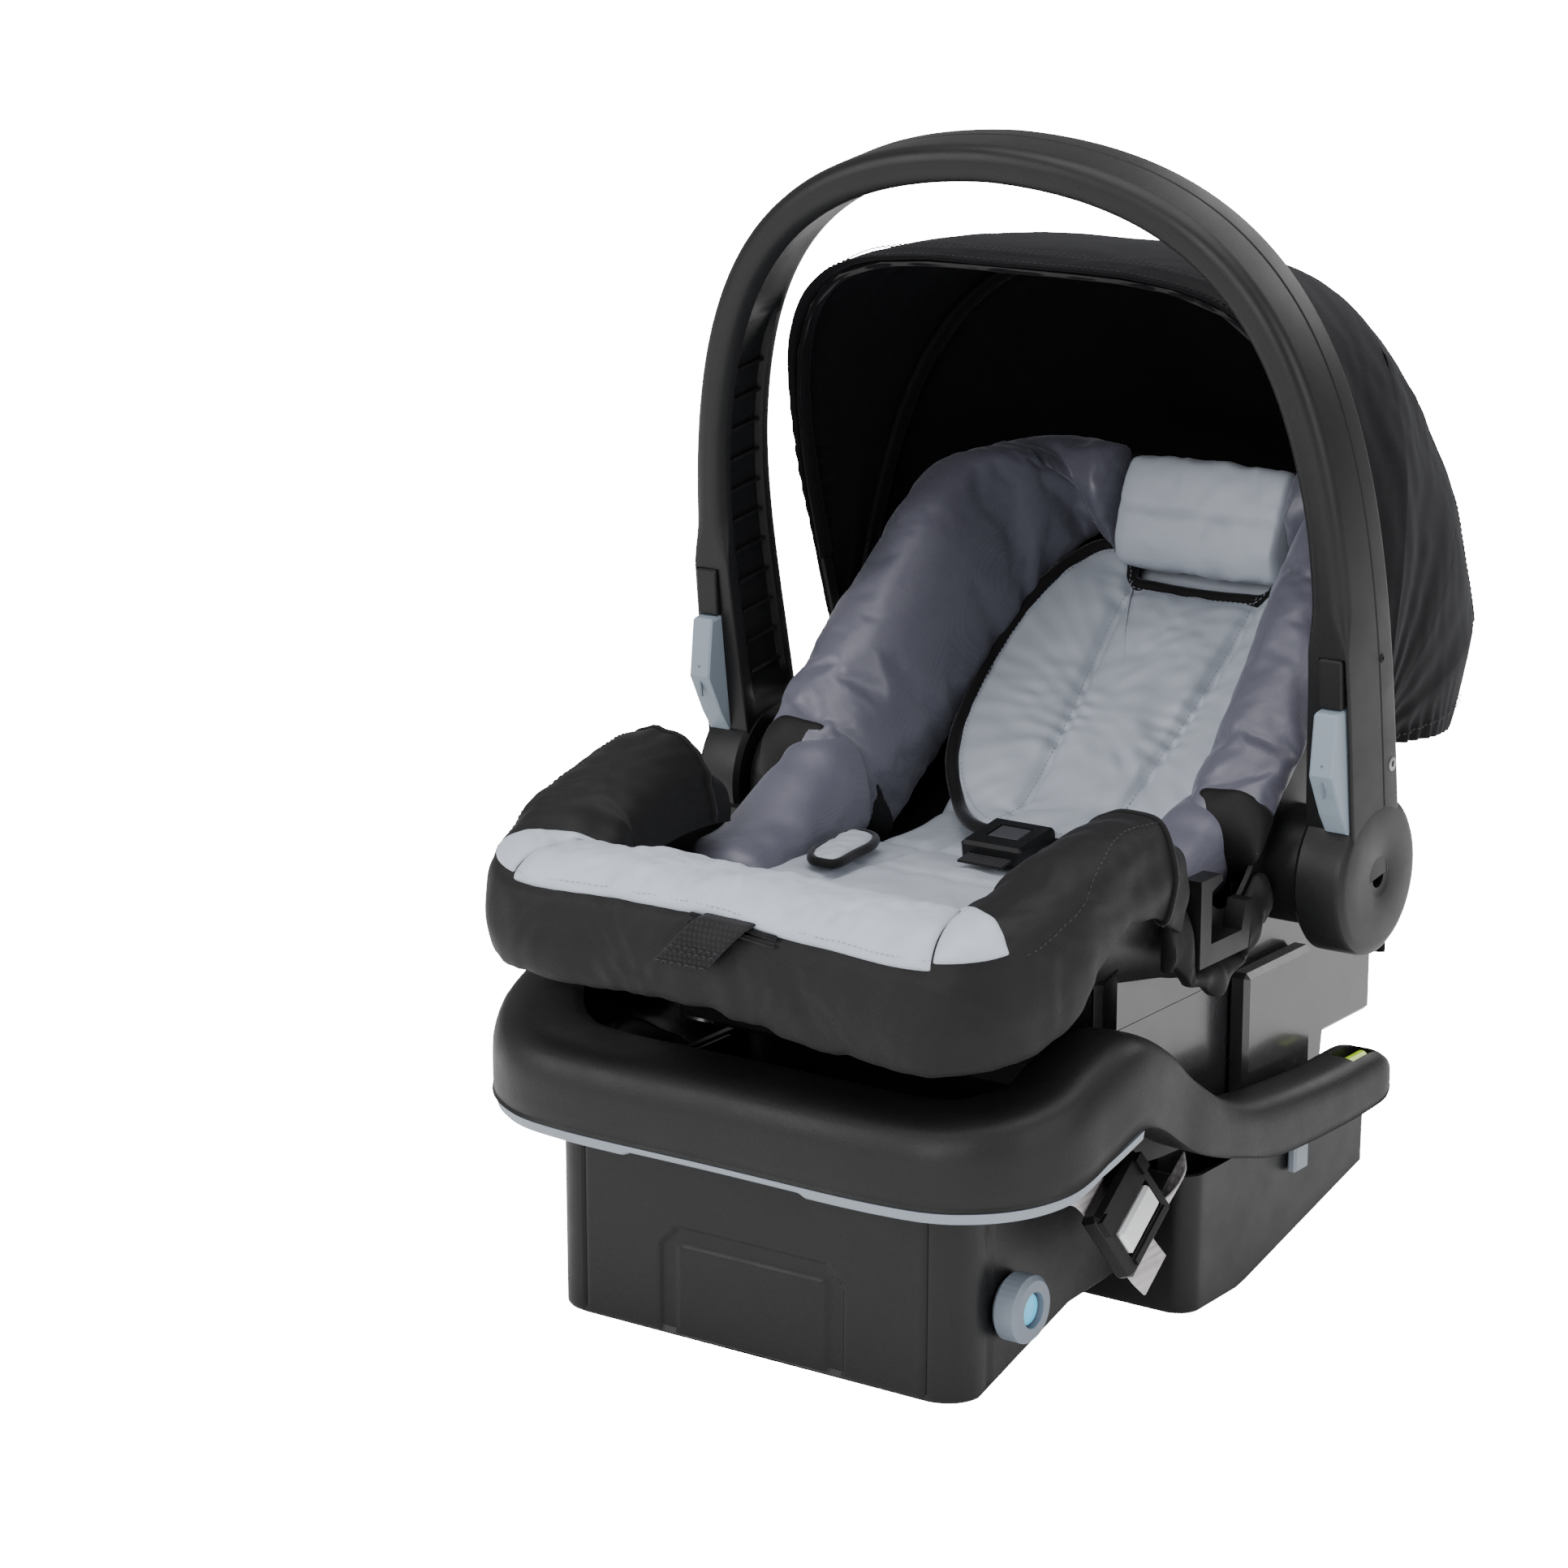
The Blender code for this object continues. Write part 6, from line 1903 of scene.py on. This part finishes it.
    def foot_mesh(self) -> bpy.types.Mesh:
        """The wide foot behind the step."""
        plan = self._plan(LAYOUT.foot_half, -0.1095, 0.100, 0.013, 0.004)

        def bottom(y: np.ndarray) -> np.ndarray:
            """The underside's height at each y."""
            return np.interp(y, (-0.110, -0.050, 0.100), (0.0, 0.0, 0.036))

        return self._box(plan, bottom, 0.083, False, 8).mesh("base_foot_moulding")

    def liner_mesh(self) -> bpy.types.Mesh:
        """The tub's inner wall carried up behind the rim, from hump to hump round the front."""
        outer, inner = [], []
        for (x, y, half, _, high), way in zip(*self._round(4)):
            z = np.linspace(0.102, high - 0.012, 8)
            for grid, gap in ((outer, 0.90), (inner, 1.0)):
                grid.append([(x - way[0] * half * gap, y - way[1] * half * gap, v) for v in z])
        return Solid().sheet(np.array(outer), np.array(inner)).mesh("rim_liner")

    def _web(self) -> Solid:
        """The lower-anchor webbing: out from under the rim, through the adjuster, and its tail."""
        place = self._adjuster()
        rows = (
            (-0.0050, -0.034, 0.058, 0.019), (-0.0020, -0.020, 0.041, 0.020),
            (-0.0055, -0.006, 0.027, 0.0195), (-0.0084, 0.0, 0.0, 0.019),
            (-0.0084, 0.0, -0.022, 0.0185), (-0.0090, 0.001, -0.034, 0.018),
            (-0.0098, 0.004, -0.046, 0.017),
        )
        line = through([(*(place @ Vector((out, y, up))), half) for out, y, up, half in rows], 70)
        wide = np.tile(np.array(place.to_3x3() @ UPRIGHT[1]), (len(line), 1))
        solid = ribbon(line[:, :3], wide, line[:, 3] * 2, 0.0015)
        tail = through(
            (
                (0.1580, -0.1600, 0.0720), (0.1640, -0.1490, 0.0680), (0.1665, -0.1350, 0.0720),
                (0.1650, -0.1220, 0.0790), (0.1600, -0.1150, 0.0860),
            ),
            50,
        )
        across = np.tile(np.array((0.30, 0.42, 0.855)), (len(tail), 1))
        other = ribbon(tail, across / np.linalg.norm(across[0]), 0.029, 0.0014)
        start = solid.count
        solid.points += other.points
        solid.faces += [tuple(i + start for i in face) for face in other.faces]
        solid.count += other.count
        return solid

    def dress(self) -> None:
        """Show the base's mouldings and its webbing."""
        show("base_rim_moulding", self.rim_mesh(), PALETTE.rim, Body.BASE, 38, ["base_rim"])
        show("rim_trim_moulding", self.trim_mesh(), PALETTE.trim, Body.BASE, 45, ["rim_trim"])
        show("base_tub_moulding", self.tub_mesh(), PALETTE.black, Body.BASE, 30, ["base_tub"])
        show("base_foot_moulding", self.foot_mesh(), PALETTE.black, Body.BASE, 30)
        show("rim_liner", self.liner_mesh(), PALETTE.black, Body.BASE, 30)
        shroud = Solid()
        for side, _ in SIDES:
            middle = Vector((side * 0.1318, *self.size.slot[1:]))
            shroud.brick(middle, UPRIGHT, (0.0010, 0.029, 0.018))
        shroud.show("slot_shrouds", PALETTE.black, Body.BASE)
        self._web().show("anchor_webbing", PALETTE.web_grey, Body.BASE, 60, ["anchor_web"])
        ridges = Solid()
        place = self._adjuster()
        axes = [place.to_3x3() @ way for way in UPRIGHT]
        for along in (-0.0265, 0.0265):
            ridges.brick(place @ Vector((0.0060, along, 0.013)), axes, (0.0022, 0.0040, 0.0050))
        ridges.brick(place @ Vector((0.0064, 0, -0.0165)), axes, (0.0012, 0.0235, 0.0018))
        ridges.show("adjuster_ridges", PALETTE.black, Body.BASE)


class DockCollar:
    """The top of the dock's wall, where it meets the shell's underside."""

    def solid(self) -> Solid:
        """A closed band on a rounded rectangle, its top following the shell."""
        half, front, rear, corner = 0.1447, -0.1677, 0.1477, 0.010
        points = []
        for x, y, start in (
            (half - corner, front + corner, -90), (half - corner, rear - corner, 0),
            (-half + corner, rear - corner, 90), (-half + corner, front + corner, 180),
        ):
            for turn in np.radians(np.linspace(start, start + 90, 9)):
                points.append((x + corner * math.cos(turn), y + corner * math.sin(turn)))
        plan = through(points, 240, closed=True)
        inner = plan * (0.980, 0.982)
        round_ = SHELL.size.roundness
        top = []
        for x, y in plan:
            _, rim_z, _, keel_z = SHELL.rim_at(y)
            share = abs(x) / LAYOUT.shell_half
            deep = max(0.0, 1 - share**round_) ** (1 / round_)
            top.append(rim_z + (keel_z - rim_z) * deep + 0.005)
        top = np.clip(np.array(top), 0.1835, 0.232)
        low = np.full(len(plan), 0.1500)
        sides = ((plan, low), (plan, top), (inner, top), (inner, low))
        rings = [np.column_stack((flat, z)) for flat, z in sides]
        return Solid().loft(np.stack(rings, axis=1), ring=True)

    def dress(self) -> None:
        """Show the collar."""
        self.solid().show("dock_collar", PALETTE.dock, Body.CARRIER, 35)


# ------------------------------------------------------------------ solids kept as they are
@dataclass(frozen=True)
class Kept:
    """A solid of the frame shown as it is, with a finish and rounded edges."""

    node: str
    material: str
    bevel: float


class KeptSolids:
    """The moulded and metal parts whose solids are already fine enough."""

    LIST = (
        *(
            Kept(f"{name}_{word}", material, bevel)
            for name, material, bevel in (
                ("release_lever", "lever", 0.0030),
                ("lever_cap", "black", 0.0016),
                ("arm_screw", "steel", 0.0004),
                ("hub_pin", "steel", 0.0004),
                ("canopy_pivot", "steel", 0.0004),
                ("belt_guide", "black", 0.0014),
                ("dock_column", "dock", 0.0022),
                ("shoulder_strap", "web_black", 0.0004),
                ("connector_clip", "trim", 0.0010),
            )
            for word in ("left", "right")
        ),
        Kept("dock_wall", "dock", 0.0012),
        Kept("canopy_mid_bow", "black", 0.0005),
        Kept("canopy_front_bow", "black", 0.0005),
        Kept("crotch_strap", "web_black", 0.0004),
        Kept("buckle", "black", 0.0010),
        Kept("buckle_button", "press", 0.0004),
        Kept("harness_adjuster", "black", 0.0010),
        Kept("carrier_release_handle", "black", 0.0018),
        Kept("recline_foot", "black", 0.0010),
        Kept("recline_knob", "knob", 0.0008),
        Kept("recline_button", "blue", 0.0010),
        Kept("adjuster_frame", "black", 0.0014),
        Kept("adjuster_button", "silver", 0.0016),
        Kept("level_vial", "vial", 0.0006),
    )

    def dress(self) -> None:
        """Give each its finish; the meshes themselves stay as they are."""
        for kept in self.LIST:
            item = bpy.data.objects.get(kept.node)
            if item is None:
                LOG.warning("no solid named %s", kept.node)
                continue
            item.data.materials.clear()
            item.data.materials.append(getattr(PALETTE, kept.material))
            edge = item.modifiers.new("edge", "BEVEL")
            edge.width = kept.bevel
            edge.segments = 3
            edge.limit_method = "ANGLE"
            edge.angle_limit = math.radians(32)
            edge.harden_normals = True
            LOG.info("%s: %s", kept.node, kept.material)


# ------------------------------------------------------------------ studio
@dataclass(frozen=True)
class Softbox:
    """A large rectangular light that looks at a point."""

    name: str
    at: tuple[float, float, float]
    aim: tuple[float, float, float]
    width: float
    height: float
    watts: float


class Studio:
    """A pale floor, soft light all round, and the camera."""

    LIGHTS = (
        Softbox("overhead", (0.2, -0.3, 2.6), (0, 0, 0.3), 2.6, 2.2, 74),
        Softbox("front_left", (-1.9, -2.2, 1.5), (0, 0, 0.3), 1.4, 1.8, 50),
        Softbox("front", (0.5, -2.9, 1.3), (0, 0, 0.35), 1.5, 1.3, 52),
        Softbox("right", (2.6, -0.5, 1.2), (0, 0, 0.3), 1.3, 1.8, 34),
        Softbox("rear", (0.6, 2.3, 1.9), (0, 0, 0.4), 2.4, 1.4, 40),
    )
    SKY = 0.42
    FLOOR_HALF = 14.0
    FLOOR_DROP = -0.0004
    FLOOR_SEEN = 16.0  # extra glow that only the camera sees, so that the floor stays white
    FLOOR_GLOW = 0.25
    CAMERA_AT = (1.341, -2.173, 0.928)
    CAMERA_AIM = (-0.101, -0.118, 0.274)
    LENS = 102.6
    SENSOR = 36.0

    def dress(self) -> None:
        """Set the floor, the lights, the world and the camera."""
        self._floor()
        for light in self.LIGHTS:
            self._softbox(light)
        world = bpy.data.worlds.new("studio_world")
        world.use_nodes = True
        sky = {0: linear("#ffffff"), 1: self.SKY}
        fill_inputs(world.node_tree, world.node_tree.nodes["Background"], sky)
        bpy.context.scene.world = world
        self._camera()

    def _floor(self) -> None:
        """A white floor that the light reaches from all round."""
        mesh = bpy.data.meshes.new("studio_floor")
        far = self.FLOOR_HALF
        corners = ((-far, -far), (far, -far), (far, far), (-far, far))
        mesh.from_pydata([(x, y, self.FLOOR_DROP) for x, y in corners], [], [(0, 1, 2, 3)])
        floor = placed("studio_floor", mesh)
        paint = bpy.data.materials.new("white_studio_paint")
        paint.use_nodes = True
        tree = paint.node_tree
        seen = tree.nodes.new("ShaderNodeLightPath").outputs["Is Camera Ray"]
        glow = {0: seen, 1: self.FLOOR_SEEN, 2: self.FLOOR_GLOW}
        looks = {
            "Base Color": linear("#fbfbfb"),
            "Roughness": 0.9,
            "Specular IOR Level": 0.1,
            "Emission Strength": add_node(tree, "ShaderNodeMath", glow, operation="MULTIPLY_ADD"),
            "Emission Color": (1, 1, 1, 1),
        }
        fill_inputs(tree, tree.nodes["Principled BSDF"], looks)
        mesh.materials.append(paint)

    @staticmethod
    def _aim(item: bpy.types.Object, at: Sequence[float], aim: Sequence[float]) -> None:
        """Put a light or the camera at a place, looking at another."""
        item.location = at
        item.rotation_euler = (Vector(aim) - Vector(at)).to_track_quat("-Z", "Y").to_euler()

    def _softbox(self, light: Softbox) -> None:
        """Hang one light."""
        lamp = bpy.data.lights.new(light.name, "AREA")
        lamp.shape = "RECTANGLE"
        lamp.size = light.width
        lamp.size_y = light.height
        lamp.energy = light.watts
        self._aim(placed(light.name, lamp), light.at, light.aim)

    def _camera(self) -> None:
        """Set up the camera."""
        lens = bpy.data.cameras.new("camera")
        lens.lens = self.LENS
        lens.sensor_width = self.SENSOR
        item = placed("camera", lens)
        self._aim(item, self.CAMERA_AT, self.CAMERA_AIM)
        bpy.context.scene.camera = item


def main() -> None:
    """Dress the whole car seat."""
    KeptSolids().dress()
    SHELL.dress()
    DockCollar().dress()
    Base().dress()
    Handle().dress()
    Canopy().dress()
    FrontCover().dress()
    for side in (1, -1):
        Bolster(side).dress()
        SideHem(side).dress()
    Cushions().dress()
    Studio().dress()


if __name__ == "__main__":
    main()
